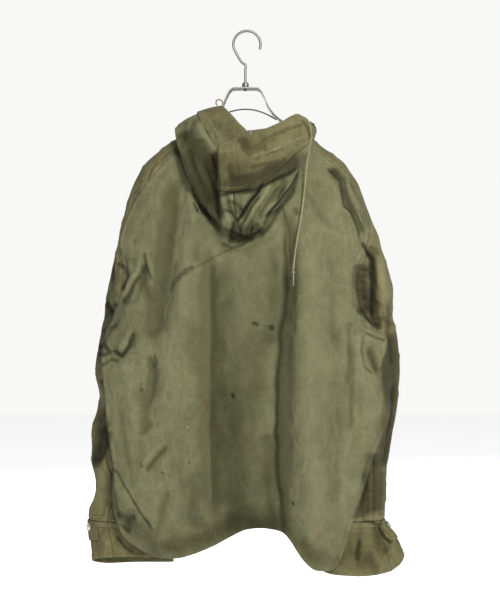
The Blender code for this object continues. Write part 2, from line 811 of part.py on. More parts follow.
def stud(name, base, axis, finish_material):
    """A press stud's cap, a low dome with a rolled rim."""
    profile = (
        (STUD_RADIUS, 0.0),
        (STUD_RADIUS, STUD_HEIGHT * 0.55),
        (STUD_RADIUS * 0.86, STUD_HEIGHT * 0.9),
        (STUD_RADIUS * 0.5, STUD_HEIGHT),
    )
    return lathe(name, profile, base, axis, finish_material)


def build_cloth(canvas, worn):
    """All cut pieces of the parka. Returns what the trimmings are set on."""
    back = back_grid()
    sleeves = [sleeve_grid(ARM_LEFT, -1), sleeve_grid(ARM_RIGHT, 1)]
    fronts = [
        front_grid(ARM_LEFT, SEAM_LEFT, -1),
        front_grid(ARM_RIGHT, SEAM_RIGHT, 1),
    ]
    neck_line = neckline(back, fronts, sleeves)
    back_out = normals_of(back, 1)
    sleeve_out = [normals_of(sleeves[0], -1), normals_of(sleeves[1], 1)]
    front_out = [normals_of(fronts[0], -1), normals_of(fronts[1], 1)]

    back_seam = slice(0, RAGLAN_ROWS - 1)
    front_seam = slice(0, RAGLAN_ROWS - 2)
    closed = slice(RAGLAN_ROWS - 1, None)
    for which, (edge, beside) in enumerate(((0, 1), (-1, -2))):
        sleeve, sleeve_normal = sleeves[which], sleeve_out[which]
        front, front_normal = fronts[which], front_out[which]
        share_normals(back_out[back_seam, edge], sleeve_normal[back_seam, 0])
        share_normals(front_normal[front_seam, 0], sleeve_normal[front_seam, -1])
        share_normals(sleeve_normal[closed, 0], sleeve_normal[closed, -1])
        stack_underarm(back[:, edge], front[:, 0], sleeve[:, -1])
        draw_back(back[:, edge], back[:, beside])
        draw_back(front[:, 0], front[:, 1])
        draw_back(sleeve[:, 0], sleeve[:, 1])
        draw_back(sleeve[:, -1], sleeve[:, -2])

    cloth("back_panel", back, back_out, canvas)
    for which, word in enumerate(("left", "right")):
        cloth(f"front_{word}", fronts[which], front_out[which], canvas)
        cloth(f"sleeve_{word}", sleeves[which], sleeve_out[which], worn)
    build_cuffs(worn)
    build_hood(neck_line, canvas, worn)
    build_fly(fronts, canvas)


def build_cuffs(worn):
    studs = material("snap_nickel", STEEL, 0.35, 1.0)
    sides = (
        ("left", -1, ARM_LEFT, CUFF_LEFT, CUFF_EDGE_LEFT),
        ("right", 1, ARM_RIGHT, CUFF_RIGHT, CUFF_EDGE_RIGHT),
    )
    for word, side, arm, cuff, free_edge in sides:
        grid = cuff_grid(arm, cuff, free_edge, side)
        normal = normals_of(grid, side)
        share_normals(normal[:, 0], normal[:, -1])
        draw_back(grid[:, 0], grid[:, 1])
        draw_back(grid[:, -1], grid[:, -2])
        cloth(f"cuff_{word}", grid, normal, worn)
        rows = slice(TAB_ROWS[0], TAB_ROWS[1] + 1)
        columns = slice(TAB_COLUMNS[0], TAB_COLUMNS[1] + 1)
        cloth(f"cuff_tab_{word}", grid[rows, columns], normal[rows, columns], worn, lift=ON_PANEL)
        outward = normal[1, 2]
        base = grid[1, 2] + outward * (ON_PANEL + WALL / 2 + CUFF_STUD_GAPS[word])
        stud(f"cuff_stud_{word}", base, outward, studs)


def build_hood(neck_line, canvas, worn):
    grid = refine(hood_grid(neck_line), HOOD_COLUMNS)
    normal = normals_of(grid, 1)
    middle = HOOD_SEAM_ROW * HOOD_STEPS
    left = grid[: middle + 1].copy()
    right = grid[middle:].copy()
    draw_back(left[-1], left[-2], 1.7 * SEAM_GAP)
    draw_back(right[0], right[1], 1.7 * SEAM_GAP)
    cloth("hood_left", left, normal[: middle + 1], canvas)
    cloth("hood_right", right, normal[middle:], canvas)
    band = slice(HOOD_COLUMNS - BAND_COLUMNS, None)
    rows = np.arange(len(grid)) / HOOD_STEPS
    share = np.interp(rows, column(BAND_SHARE, 0), column(BAND_SHARE, 1))[:, None]
    for part in (grid, normal):
        part[:, band.start] = part[:, band.start + 1] * (1 - share) + part[:, band.start] * share
    normal[:, band.start] /= np.linalg.norm(normal[:, band.start], axis=1)[:, None]
    cloth("hood_edge_band", grid[:, band], normal[:, band], worn, lift=ON_PANEL)


def build_fly(fronts, canvas):
    """The strip that covers the opening, made from the fronts' own points, with its studs."""
    studs = material("fly_nickel", STEEL, 0.35, 1.0)
    line = np.concatenate([fronts[0], fronts[1][:, ::-1]], axis=1)[1:]
    wanted = np.linspace(-FLY_WIDTH / 2, FLY_WIDTH / 2, FLY_COLUMNS)
    grid = np.empty((len(line), FLY_COLUMNS, 3))
    grid[:, :, 0] = wanted
    for row, points in enumerate(line):
        for axis in (1, 2):
            grid[row, :, axis] = np.interp(wanted, points[:, 0], points[:, axis])
    normal = normals_of(grid, -1)
    cloth("front_fly", grid, normal, canvas, lift=ON_PANEL + FLY_LIFT)
    edge = FLY_COLUMNS - 2
    for count in range(STUD_COUNT):
        drop = STUD_FIRST_DROP + STUD_PITCH * count
        row = int(np.argmin(np.abs(drop + grid[:, edge, 2])))
        outward = normal[row, edge]
        base = grid[row, edge] + outward * (ON_PANEL + FLY_LIFT + WALL / 2 + STUD_GAP)
        stud(f"front_stud_{count + 1}", base, outward, studs)


def build_cord():
    tan = material("cord_tan", CORD_TAN, 0.8)
    metal = material("aglet_metal", STEEL, 0.35, 1.0)
    points = route_points(CORD_ROUTE, CORD_SPACING)
    tube("drawcord", points, CORD_RADIUS, tan)
    tube("drawcord_loop", route_points(LOOP_ROUTE, LOOP_SPACING), CORD_RADIUS, tan)
    x, y, z = points[-1]
    below = z - SEAM_GAP
    lathe("drawcord_knot", KNOT, (x, y, below), (0, 0, 1), tan, 10)
    tip = below + KNOT[0][1] - SEAM_GAP
    aglet = (
        (AGLET_RADIUS * 0.8, -AGLET_LENGTH),
        (AGLET_RADIUS, -AGLET_LENGTH + 1.5),
        (AGLET_RADIUS, -1.0),
        (AGLET_RADIUS * 0.8, 0.0),
    )
    lathe("drawcord_aglet", aglet, (x, y, tip), (0, 0, 1), metal, 10)


def build_hanger():
    steel = material("hanger_steel", STEEL, 0.3, 1.0)
    dark = material("hanger_dark", DARK_STEEL, 0.45, 1.0)
    tube("hanger_hook", hook_points(), HOOK_WIRE_RADIUS, steel)
    foot = -STEM_FOOT_DROP - SEAM_GAP
    ferrule = ((FERRULE_RADIUS, -FERRULE_HEIGHT), (FERRULE_RADIUS, -1.5), (FERRULE_RADIUS - 1.5, 0.0))
    lathe("hanger_ferrule", ferrule, (STEM_X, 0, foot), (0, 0, 1), steel, 16)
    strip("hanger_frame", frame_path(), STRIP_WIDTH, STRIP_THICKNESS, steel)
    under = -FRAME_TOP_DROP - STRIP_THICKNESS / 2 - SEAM_GAP
    lathe(
        "hanger_bolt",
        ((BOLT_RADIUS * 0.8, -BOLT_HEIGHT), (BOLT_RADIUS, -BOLT_HEIGHT * 0.6), (BOLT_RADIUS, 0.0)),
        (STEM_X, 0, under),
        (0, 0, 1),
        dark,
        8,
    )
    share = np.linspace(-1, 1, ARC_POINTS)
    x = STEM_X + share * ARC_END_HALF
    z = -(ARC_APEX_DROP + (ARC_END_DROP - ARC_APEX_DROP) * share**2)
    arc = np.stack([x, np.zeros(ARC_POINTS), z], axis=-1)
    tube("hanger_arc", arc, ARC_RADIUS, dark)


def clear_scene():
    for thing in list(bpy.data.objects):
        bpy.data.objects.remove(thing, do_unlink=True)


def main():
    clear_scene()
    canvas = material("canvas_olive", OLIVE, 0.85)
    worn = material("canvas_worn", BROWN_OLIVE, 0.85)
    build_cloth(canvas, worn)
    build_cord()
    build_hanger()


main()
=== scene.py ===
"""Deck parka on a metal hanger: cloth with its creases, seams and wear, cord, studs and hanger."""

import math

import bmesh
import bpy
import numpy as np
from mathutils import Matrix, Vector, noise


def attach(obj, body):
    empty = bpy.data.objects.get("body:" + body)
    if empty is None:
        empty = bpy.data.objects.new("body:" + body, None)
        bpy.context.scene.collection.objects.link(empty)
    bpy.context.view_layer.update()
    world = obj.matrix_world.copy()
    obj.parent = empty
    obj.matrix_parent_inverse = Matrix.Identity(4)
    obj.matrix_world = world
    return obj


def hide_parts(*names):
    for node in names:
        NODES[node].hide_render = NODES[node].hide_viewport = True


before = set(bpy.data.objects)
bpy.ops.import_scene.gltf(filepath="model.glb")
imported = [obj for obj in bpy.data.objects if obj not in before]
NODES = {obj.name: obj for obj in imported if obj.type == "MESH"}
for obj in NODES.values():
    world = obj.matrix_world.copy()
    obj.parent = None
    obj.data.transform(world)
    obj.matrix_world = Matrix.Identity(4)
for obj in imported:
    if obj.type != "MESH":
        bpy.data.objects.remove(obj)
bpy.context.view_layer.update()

MM = 0.001

# Camera in millimetres, and the photograph's millimetres a pixel at the garment's middle depth
EYE = (6.0, -2300.0, -524.0)
PIXEL = 1.95
PHOTO_HEIGHT = 602
PHOTO_MIDDLE = (250.0, 301.0)
SENSOR = 24.0

COARSER = 1.0
# Cloth in millimetres: its wall, and how its seams, hem and puckers stand up
WALL = 1.8
SEAM_WIDTH = 9.0
SEAM_RISE = 0.5
HEM_RISE = 0.7
PUCKER = 0.7

# Colours, in linear light
OLIVE = (0.098, 0.098, 0.047)
OLIVE_DEEP = (0.055, 0.053, 0.023)
OLIVE_PALE = (0.150, 0.146, 0.079)
WORN = (0.088, 0.081, 0.033)
WORN_DEEP = (0.040, 0.033, 0.013)
WORN_PALE = (0.152, 0.138, 0.066)
SOIL = (0.026, 0.023, 0.011)
RUST = (0.180, 0.060, 0.022)
CHALK = (0.420, 0.420, 0.330)
THREAD = (0.230, 0.205, 0.125)
CORD_TAN = (0.250, 0.195, 0.105)
CORD_WORN = (0.175, 0.140, 0.070)
CORD_BETWEEN_STRANDS = (0.075, 0.055, 0.028)
STEEL = (0.210, 0.200, 0.190)
STEEL_DULL = (0.150, 0.140, 0.130)
DARK_STEEL = (0.085, 0.080, 0.075)
DARK_STEEL_DULL = (0.035, 0.032, 0.030)
NICKEL = (0.550, 0.540, 0.500)
NICKEL_DULL = (0.240, 0.220, 0.190)
BACKGROUND = (0.940, 0.940, 0.930)
# Painted shade: what the cloth's colour is multiplied by in its folds and shadows, and in the deepest of
# them
PAINTED_FOLD_SHADE = (0.32, 0.32, 0.27)
PAINTED_DEEP_SHADE = (0.22, 0.22, 0.20)

# Metres from one thread to the next both ways, from stitch to stitch, and from one turn of the
# cord's strands to the next
WARP_STEP = 0.00085
WEFT_STEP = 0.00095
STITCH = 0.0031
STRAND = 0.0042


# ---------------------------------------------------------------- camera, then the cord


def set_camera():
    bpy.ops.object.select_all(action="DESELECT")
    place = [part * MM for part in EYE]
    bpy.ops.object.camera_add(location=place, rotation=(math.pi / 2, 0, 0))
    camera = bpy.context.object
    camera.name = "photo_camera"
    camera.data.sensor_fit = "VERTICAL"
    camera.data.sensor_height = SENSOR
    camera.data.lens = SENSOR * -EYE[1] / (PHOTO_HEIGHT * PIXEL)
    bpy.context.scene.camera = camera


# Cord radius in millimetres, and the sides of its round tube
CORD_RADIUS = 1.4
CORD_SIDES = 12
# Points in metres that the middles of the hanging cord and of its loop pass, and how far apart,
# in metres, the points of their finished lines are
CORD_SPACING = 0.003
CORD_ROUTE = (
    (0.1040, -0.0995, -0.180),
    (0.1120, -0.0980, -0.184),
    (0.1190, -0.0900, -0.196),
    (0.1210, -0.0760, -0.216),
    (0.1170, -0.0660, -0.242),
    (0.1130, -0.0605, -0.275),
    (0.1095, -0.0595, -0.312),
    (0.1050, -0.0610, -0.350),
    (0.0980, -0.0635, -0.392),
    (0.0920, -0.0650, -0.430),
    (0.0880, -0.0660, -0.466),
)
LOOP_SPACING = 0.0012
LOOP_ROUTE = (
    (-0.0580, -0.0245, -0.1468),
    (-0.0595, -0.0270, -0.1410),
    (-0.0565, -0.0295, -0.1368),
    (-0.0500, -0.0315, -0.1375),
    (-0.0465, -0.0330, -0.1430),
    (-0.0485, -0.0350, -0.1508),
)
# Steps of a curve that is then measured and divided evenly
FINE_STEPS = 600


def through(points, at):
    """Rows of an array read between each other, on smooth curves through them."""
    last = len(points) - 1
    cell = np.clip(np.floor(at).astype(int), 0, last - 1)
    shape = (-1,) + (1,) * (points.ndim - 1)
    t = (at - cell).reshape(shape)
    slope = np.gradient(points, axis=0)
    start = points[cell] * (1 + 2 * t) * (1 - t) ** 2
    end = points[cell + 1] * t**2 * (3 - 2 * t)
    lean = slope[cell] * t * (1 - t) ** 2 - slope[cell + 1] * t**2 * (1 - t)
    return start + end + lean


def route_line(route, spacing):
    """Evenly spaced points on a smooth curve through a route."""
    fine = through(np.array(route), np.linspace(0, len(route) - 1, FINE_STEPS))
    steps = np.linalg.norm(np.diff(fine, axis=0), axis=1)
    length = np.concatenate([[0.0], np.cumsum(steps)])
    count = max(6, round(length[-1] / spacing) + 1)
    at = np.linspace(0, length[-1], count)
    return np.stack([np.interp(at, length, fine[:, i]) for i in range(3)], axis=-1)


def linked(name, data):
    """A new piece of the scene with the given mesh or curve."""
    piece = bpy.data.objects.new(name, data)
    bpy.context.scene.collection.objects.link(piece)
    return piece


def braid(name, line, radius, finish):
    """A round tube along a line, with its own map: u goes along it and v round it."""
    ahead = np.gradient(line, axis=0)
    ahead /= np.linalg.norm(ahead, axis=1)[:, None]
    side = np.cross(ahead[0], (0.0, 1.0, 0.3))
    side /= np.linalg.norm(side)
    steps = np.linalg.norm(np.diff(line, axis=0), axis=1)
    run = np.concatenate([[0.0], np.cumsum(steps)])
    mesh = bmesh.new()
    rings = []
    turns = [2 * math.pi * step / CORD_SIDES for step in range(CORD_SIDES)]
    for point, direction in zip(line, ahead):
        side = side - direction * np.dot(side, direction)
        side /= np.linalg.norm(side)
        other = np.cross(direction, side)
        ring = [point + radius * (side * math.cos(turn) + other * math.sin(turn)) for turn in turns]
        rings.append([mesh.verts.new(place) for place in ring])
    own_map = mesh.loops.layers.uv.new("own_map")
    for i in range(len(rings) - 1):
        for j in range(CORD_SIDES):
            k = (j + 1) % CORD_SIDES
            face = mesh.faces.new((rings[i][j], rings[i][k], rings[i + 1][k], rings[i + 1][j]))
            face.smooth = True
            places = ((i, j), (i, j + 1), (i + 1, j + 1), (i + 1, j))
            for loop, (row, turn) in zip(face.loops, places):
                loop[own_map].uv = (run[row], turn / CORD_SIDES)
    mesh.faces.new(rings[0][::-1])
    mesh.faces.new(rings[-1])
    bmesh.ops.recalc_face_normals(mesh, faces=mesh.faces)
    data = bpy.data.meshes.new(name)
    mesh.to_mesh(data)
    mesh.free()
    data.materials.append(finish)
    return linked(name, data)


# ---------------------------------------------------------------- node helpers


class Tree:
    """Short calls for the nodes of one finish."""

    def __init__(self, name):
        self.finish = bpy.data.materials.new(name)
        self.finish.use_nodes = True
        self.nodes = self.finish.node_tree.nodes
        self.links = self.finish.node_tree.links
        self.shader = self.nodes["Principled BSDF"]
        self.place = self.nodes.new("ShaderNodeTexCoord").outputs["Object"]

    def feed(self, socket, value):
        if isinstance(value, bpy.types.NodeSocket):
            self.links.new(value, socket)
        elif isinstance(value, tuple) and len(value) == 3 and socket.type == "RGBA":
            socket.default_value = (*value, 1.0)
        else:
            socket.default_value = value

    def maths(self, operation, first, second=0.0, third=0.0):
        made = self.nodes.new("ShaderNodeMath")
        made.operation = operation
        for socket, value in zip(made.inputs, (first, second, third)):
            self.feed(socket, value)
        return made.outputs[0]

    def times(self, first, second):
        return self.maths("MULTIPLY", first, second)

    def plus(self, first, second):
        return self.maths("ADD", first, second)

    def less(self, first, second):
        return self.maths("SUBTRACT", first, second)

    def wave(self, value, step=1.0):
        """From -1 to 1 and back for each step of the value."""
        return self.maths("SINE", self.times(value, 2 * math.pi / step))

    def span(self, value, low, high, to_low=0.0, to_high=1.0):
        """The value between low and high, softly stepped between the two results."""
        made = self.nodes.new("ShaderNodeMapRange")
        made.interpolation_type = "SMOOTHSTEP"
        for name, number in zip(
            ("Value", "From Min", "From Max", "To Min", "To Max"),
            (value, low, high, to_low, to_high),
        ):
            self.feed(made.inputs[name], number)
        return made.outputs[0]

    def stretched(self, scale):
        made = self.nodes.new("ShaderNodeMapping")
        self.links.new(self.place, made.inputs["Vector"])
        made.inputs["Scale"].default_value = scale
        return made.outputs[0]

    def noise(self, scale, detail=3.0, rough=0.55, vector=None, warp=0.0):
        made = self.nodes.new("ShaderNodeTexNoise")
        self.links.new(vector or self.place, made.inputs["Vector"])
        made.inputs["Scale"].default_value = scale
        made.inputs["Detail"].default_value = detail
        made.inputs["Roughness"].default_value = rough
        made.inputs["Distortion"].default_value = warp
        return made.outputs["Fac"]

    def mix(self, share, first, second, blend="MIX"):
        made = self.nodes.new("ShaderNodeMix")
        made.data_type = "RGBA"
        made.blend_type = blend
        self.feed(made.inputs[0], share)
        self.feed(made.inputs[6], first)
        self.feed(made.inputs[7], second)
        return made.outputs[2]

    def tinted(self, colour, *layers):
        """The colour under layers: each one's source, the span it comes in over, most and tint."""
        for source, low, high, most, tint in layers:
            colour = self.mix(self.span(source, low, high, 0.0, most), colour, tint)
        return colour

    def read(self, attribute):
        made = self.nodes.new("ShaderNodeAttribute")
        made.attribute_name = attribute
        return made.outputs["Fac"]

    def own_map(self):
        made = self.nodes.new("ShaderNodeUVMap")
        made.uv_map = "own_map"
        split = self.nodes.new("ShaderNodeSeparateXYZ")
        self.links.new(made.outputs[0], split.inputs[0])
        return split.outputs[0], split.outputs[1]

    def raised(self, *layers):
        """Bumps over each other: each one's height, its strength and its distance in metres."""
        normal = None
        for height, strength, distance in layers:
            made = self.nodes.new("ShaderNodeBump")
            made.inputs["Strength"].default_value = strength
            made.inputs["Distance"].default_value = distance
            self.links.new(height, made.inputs["Height"])
            if normal:
                self.links.new(normal, made.inputs["Normal"])
            normal = made.outputs[0]
        return normal

    def put(self, **values):
        """Feeds the shader's sockets, each named with an underscore for a space."""
        for name, value in values.items():
            self.feed(self.shader.inputs[name.replace("_", " ")], value)


def crackle(tree):
    """Distance from the uneven net of small folds that washing leaves in canvas."""
    net = tree.nodes.new("ShaderNodeTexVoronoi")
    net.feature = "DISTANCE_TO_EDGE"
    net.inputs["Scale"].default_value = 1.0
    shift = tree.nodes.new("ShaderNodeVectorMath")
    shift.operation = "ADD"
    wander = tree.nodes.new("ShaderNodeTexNoise")
    wander.inputs["Scale"].default_value = 24.0
    tree.links.new(tree.place, wander.inputs["Vector"])
    tree.links.new(tree.stretched((30.0, 30.0, 19.0)), shift.inputs[0])
    tree.links.new(wander.outputs["Color"], shift.inputs[1])
    tree.links.new(shift.outputs[0], net.inputs["Vector"])
    return net.outputs["Distance"]


def faded_and_shaded(tree, fold_edge, base, deep, pale, brown_share):
    """The canvas's colour: uneven dye, slubs, brown patches, rubbed folds, and painted shade and
    highlight. Its painted shading, its patches, its fine grain and its threads come with it."""
    cloudy = tree.noise(7.0, 4.0, 0.6, warp=0.6)
    patchy = tree.noise(26.0, 5.0, 0.65)
    fine = tree.noise(240.0, 3.0, 0.7)
    slub = tree.noise(1.0, 3.0, 0.6, vector=tree.stretched((520.0, 520.0, 26.0)))
    pick = tree.noise(1.0, 3.0, 0.6, vector=tree.stretched((30.0, 30.0, 560.0)))
    streak = tree.noise(1.0, 4.0, 0.65, vector=tree.stretched((46.0, 46.0, 12.0)), warp=0.5)
    brown = tree.noise(9.0, 5.0, 0.62, warp=0.4)
    blotch = tree.noise(85.0, 5.0, 0.7, warp=0.8)
    uneven = tree.times(tree.less(patchy, 0.5), 0.35)
    painted_shading = tree.times(tree.read("painted_shading"), tree.plus(uneven, 1.0))
    relief = tree.read("relief")
    colour = tree.tinted(
        base,
        (cloudy, 0.33, 0.68, 0.34, pale),
        (patchy, 0.42, 0.72, 0.36, deep),
        (streak, 0.50, 0.74, 0.34, pale),
        (streak, 0.48, 0.28, 0.30, deep),
        (fine, 0.35, 0.70, 0.22, pale),
        (slub, 0.50, 0.72, 0.34, pale),
        (pick, 0.50, 0.72, 0.30, deep),
        (brown, 0.50, 0.72, brown_share, WORN_DEEP),
        # Painted highlight: paler where the painted shading is negative
        (painted_shading, 0.0, -1.0, 0.8, pale),
        (fold_edge, 0.09, 0.0, 0.20, pale),
        (fold_edge, 0.10, 0.30, 0.16, deep),
        (blotch, 0.52, 0.70, 0.30, deep),
        (blotch, 0.46, 0.30, 0.24, pale),
        # From the creases' height: paler on their ridges, and painted shade darkening their valleys
        (relief, 0.0, 1.0, 0.24, pale),
        (relief, 0.0, -1.0, 0.72, deep),
    )
    return colour, painted_shading, patchy, fine, tree.plus(slub, pick)


def sewn(tree, colour, fine, deep, pale):
    """The colour with its seams, stitches and edges on it. The rows of stitches, their thread and
    the strip beside the seams come with it."""
    seam = tree.read("seam_off")
    edge = tree.read("edge_off")
    # Rows of stitches: what each is measured from, how far off it runs, and half its thread
    rows = [(seam, 0.0020, 0.00040), (seam, 0.0085, 0.00040), (edge, 0.0022, 0.00035)]
    rows += [(tree.read(f"sewn_{count}"), 0.0, 0.00050) for count in range(SEWN_ROWS)]
    stitched = tree.maths("COMPARE", *rows[0])
    for row in rows[1:]:
        stitched = tree.maths("MAXIMUM", stitched, tree.maths("COMPARE", *row))
    dash = tree.span(tree.wave(tree.read("seam_run"), STITCH), -0.75, -0.35)
    thread = tree.times(stitched, dash)
    hem_row = tree.times(tree.maths("COMPARE", tree.read("hem_line"), 0.0, 0.00045), dash)
    near_seam = tree.span(seam, 0.0150, 0.0060)
    rubbed = tree.times(near_seam, tree.span(tree.noise(75.0, 4.0), 0.42, 0.66))
    ditch = tree.span(seam, 0.0016, 0.0002)
    beside = tree.times(tree.span(seam, 0.0150, 0.0105), tree.span(seam, 0.0090, 0.0105))
    frayed = tree.times(tree.span(edge, 0.0030, 0.0004), tree.span(fine, 0.35, 0.6))
    for share, most, tint in (
        (hem_row, 0.22, THREAD),
        (rubbed, 0.42, pale),
        (ditch, 0.35, deep),
        (beside, 0.30, deep),
        (frayed, 0.55, pale),
        (thread, 0.55, THREAD),
    ):
        colour = tree.mix(tree.times(share, most), colour, tint)
    return colour, stitched, thread, near_seam


def stained_and_shaded(tree, colour, painted_shading):
    """The colour with its stains on it, and darkened by painted shade where the painted shading says so.
    """
    ragged = tree.less(tree.noise(210.0, 4.0, 0.72), 0.5)
    for kind, (tint, most, torn) in STAIN_LOOKS.items():
        stain = tree.read(kind)
        spread = tree.plus(stain, tree.times(ragged, torn))
        amount = tree.times(tree.span(spread, 0.28, 0.78), tree.span(stain, 0.04, 0.3))
        colour = tree.mix(tree.times(amount, most), colour, tint)
    # Painted shade: the cloth multiplied darker in its folds and shadows, in two steps
    for low, shade in ((0.0, PAINTED_FOLD_SHADE), (1.0, PAINTED_DEEP_SHADE)):
        darker = tree.mix(1.0, colour, shade, "MULTIPLY")
        colour = tree.mix(tree.span(painted_shading, low, low + 1.0), colour, darker)
    return colour


def canvas_finish(name, base, deep, pale, brown_share):
    """Washed cotton canvas: weave, slubs, fading, soil, stains, stitching and seam wear, with painted
    shade and highlight.
    """
    tree = Tree(name)
    across, down = tree.own_map()
    fold_edge = crackle(tree)
    colour, painted_shading, patchy, fine, threads = faded_and_shaded(tree, fold_edge, base, deep, pale, brown_share)
    colour, stitched, thread, near_seam = sewn(tree, colour, fine, deep, pale)
    gather = tree.noise(1.0, 2.0, 0.5, vector=tree.stretched((90.0, 90.0, 90.0)), warp=0.3)
    tree.put(
        Base_Color=stained_and_shaded(tree, colour, painted_shading),
        Roughness=tree.span(patchy, 0.3, 0.7, 0.80, 0.94),
        Specular_IOR_Level=0.12,
        Sheen_Weight=0.04,
        Sheen_Roughness=0.5,
        Normal=tree.raised(
            (tree.times(tree.wave(across, WARP_STEP), tree.wave(down, WEFT_STEP)), 0.35, 0.00012),
            (threads, 0.5, 0.0005),
            (tree.noise(52.0, 5.0, 0.62, warp=0.9), 0.75, 0.0036),
            (tree.span(fold_edge, 0.0, 0.16), 0.30, 0.0024),
            (tree.times(gather, near_seam), 0.8, 0.0035),
            (tree.less(thread, tree.times(stitched, 1.6)), 0.8, 0.0006),
        ),
    )
    return tree.finish


def cord_finish():
    """Braided cotton cord: crossing strands from its own map, fuzz, and darker between the strands."""
    tree = Tree("cord_tan_braid")
    along, around = tree.own_map()
    twist = tree.times(along, 1 / STRAND)
    turned = tree.times(around, 2.0)
    one_way = tree.wave(tree.plus(twist, turned))
    other_way = tree.wave(tree.less(twist, turned))
    strands = tree.maths("MAXIMUM", one_way, other_way)
    colour = tree.mix(tree.span(tree.noise(55.0, 4.0), 0.35, 0.7), CORD_TAN, CORD_WORN)
    tree.put(
        Base_Color=tree.tinted(colour, (strands, 0.1, -0.4, 0.6, CORD_BETWEEN_STRANDS)),
        Roughness=0.8,
        Sheen_Weight=0.15,
        Normal=tree.raised((strands, 0.8, 0.0004), (tree.noise(900.0, 2.0), 0.4, 0.0003)),
    )
    return tree.finish


def metal_finish(name, light, dull, rough, brushed=(45.0, 45.0, 160.0)):
    """Worn metal: brushed grain, dull patches and fine scratches."""
    tree = Tree(name)
    grain = tree.noise(1.0, 4.0, 0.6, vector=tree.stretched(brushed))
    patch = tree.noise(34.0, 4.0, 0.6)
    colour = tree.tinted(light, (patch, 0.42, 0.72, 0.65, dull), (grain, 0.5, 0.8, 0.10, dull))
    tree.put(
        Base_Color=colour,
        Metallic=1.0,
        Roughness=tree.span(grain, 0.3, 0.75, rough - 0.04, rough + 0.05),
        Normal=tree.raised((grain, 0.05, 0.0001), (tree.noise(220.0, 2.0), 0.06, 0.0002)),
    )
    return tree.finish


# ---------------------------------------------------------------- cloth from the frame's own points

# Rows and columns of each cloth solid, which side of it is out, and where it starts, in x, depth
# and drop in millimetres: the first point, one a quarter of the way along its first row, and the
# first point of its last row
CUT = {
    "back_panel": (34, 29, 1, (-80, -30, 187), (-45, -42, 205), (-186, -13, 1016)),
    "front_left": (34, 9, -1, (-80, 34, 187), (-70, 38, 196), (-186, -13, 1016)),
    "front_right": (34, 9, 1, (80, 34, 187), (70, 38, 196), (174, -13, 1037)),
    "sleeve_left": (31, 17, -1, (-80, -30, 187), (-98, -16, 187), (-274, 14, 957)),
    "sleeve_right": (31, 17, 1, (80, -30, 187), (96, -16, 187), (248, 20, 957)),
    "cuff_left": (7, 17, -1, (-274, 14, 958), (-307, 60, 958), (-261, 11, 1026)),
    "cuff_right": (7, 17, 1, (248, 20, 958), (256, 66, 958), (283, 14, 1052)),
    "cuff_tab_left": (4, 4, -1, (-298, 21, 958), (-312, 33, 958), (-291, 19, 993)),
    "cuff_tab_right": (4, 4, 1, (267, 28, 958), (274, 42, 958), (291, 25, 1000)),
    "hood_left": (21, 15, 1, (-5, 50, 254), (-10, 60, 256), (0, -43, 211)),
    "hood_right": (19, 15, 1, (0, -43, 211), (-5, -60, 290), (5, 50, 254)),
    "hood_edge_band": (39, 5, 1, (-12, 68, 249), (-12, 70, 243), (12, 68, 249)),
    "front_fly": (33, 5, -1, (-31, 50, 268), (-16, 52, 268), (-31, 42, 955)),
}
# The solids' wall, how close to it a rim's edge comes, and how far a grid's corner may lie from
# its mark, in millimetres
CAD_WALL = 2.0
WALL_ERROR = 0.003
CORNER_REACH = 25.0


def is_wall_thick(edge):
    return abs(edge.calc_length() / MM - CAD_WALL) < WALL_ERROR


def border_loop(faces):
    """The border of one face of the cloth, as vertices in order."""
    beside = {}
    for face in faces:
        for edge in face.edges:
            if edge.is_boundary:
                first, second = edge.verts
                beside.setdefault(first, []).append(second)
                beside.setdefault(second, []).append(first)
    start = next(iter(beside))
    loop = [start]
    before, here = None, start
    while True:
        after = [vert for vert in beside[here] if vert != before]
        before, here = here, after[0]
        if here == start:
            return loop
        loop.append(here)


def from_corner(loop, rows, columns, mark):
    """The loop started at the grid's corner near the mark, its first side a row of the grid."""
    sides = np.cumsum([0, columns - 1, rows - 1, columns - 1])
    starts = []
    for way in (loop, loop[::-1]):
        places = np.array([vert.co for vert in way])
        ahead = np.roll(places, -1, axis=0) - places
        ahead /= np.linalg.norm(ahead, axis=1)[:, None]
        bend = 1 - np.sum(ahead * np.roll(ahead, 1, axis=0), axis=1)
        total = sum(np.roll(bend, -side) for side in sides)
        total[np.linalg.norm(places - mark, axis=1) > CORNER_REACH * MM] = 0.0
        best = int(np.argmax(total))
        starts.append((total[best], len(starts), way[best:] + way[:best]))
    return max(starts)[2]


def next_face(first, second, used):
    for edge in first.link_edges:
        if second in edge.verts:
            for face in edge.link_faces:
                if face not in used:
                    used.add(face)
                    return face
    raise RuntimeError("the cloth's faces aren't a grid")


def walked(faces, rows, columns, mark):
    """One face of the cloth as a grid of points, found by walking its triangles."""
    loop = from_corner(border_loop(faces), rows, columns, mark)
    side = [loop[0]] + loop[::-1]
    row = loop[:columns]
    grid = [row]
    used = set()
    for step in range(1, rows):
        below = [side[step]]
        for first, second in zip(row, row[1:]):
            face = next_face(first, second, used)
            apex = next(vert for vert in face.verts if vert not in (first, second))
            if apex == below[-1]:
                face = next_face(apex, second, used)
                apex = next(vert for vert in face.verts if vert not in (apex, second))
            else:
                next_face(first, apex, used)
            below.append(apex)
        row = below
        grid.append(row)
    return np.array([[vert.co[:] for vert in line] for line in grid])


def turned_to(grid, rows, columns, marks):
    """The grid turned so that its first row and column start where the marks say."""
    choices = []
    for turned in (grid, grid.transpose(1, 0, 2)):
        if turned.shape[:2] != (rows, columns):
            continue
        for way in (turned, turned[::-1], turned[:, ::-1], turned[::-1, ::-1]):
            found = np.array([way[0, 0], way[0, columns // 4], way[-1, 0]])
            choices.append((np.linalg.norm(found - marks, axis=1).sum(), len(choices), way))
    return min(choices)[2]


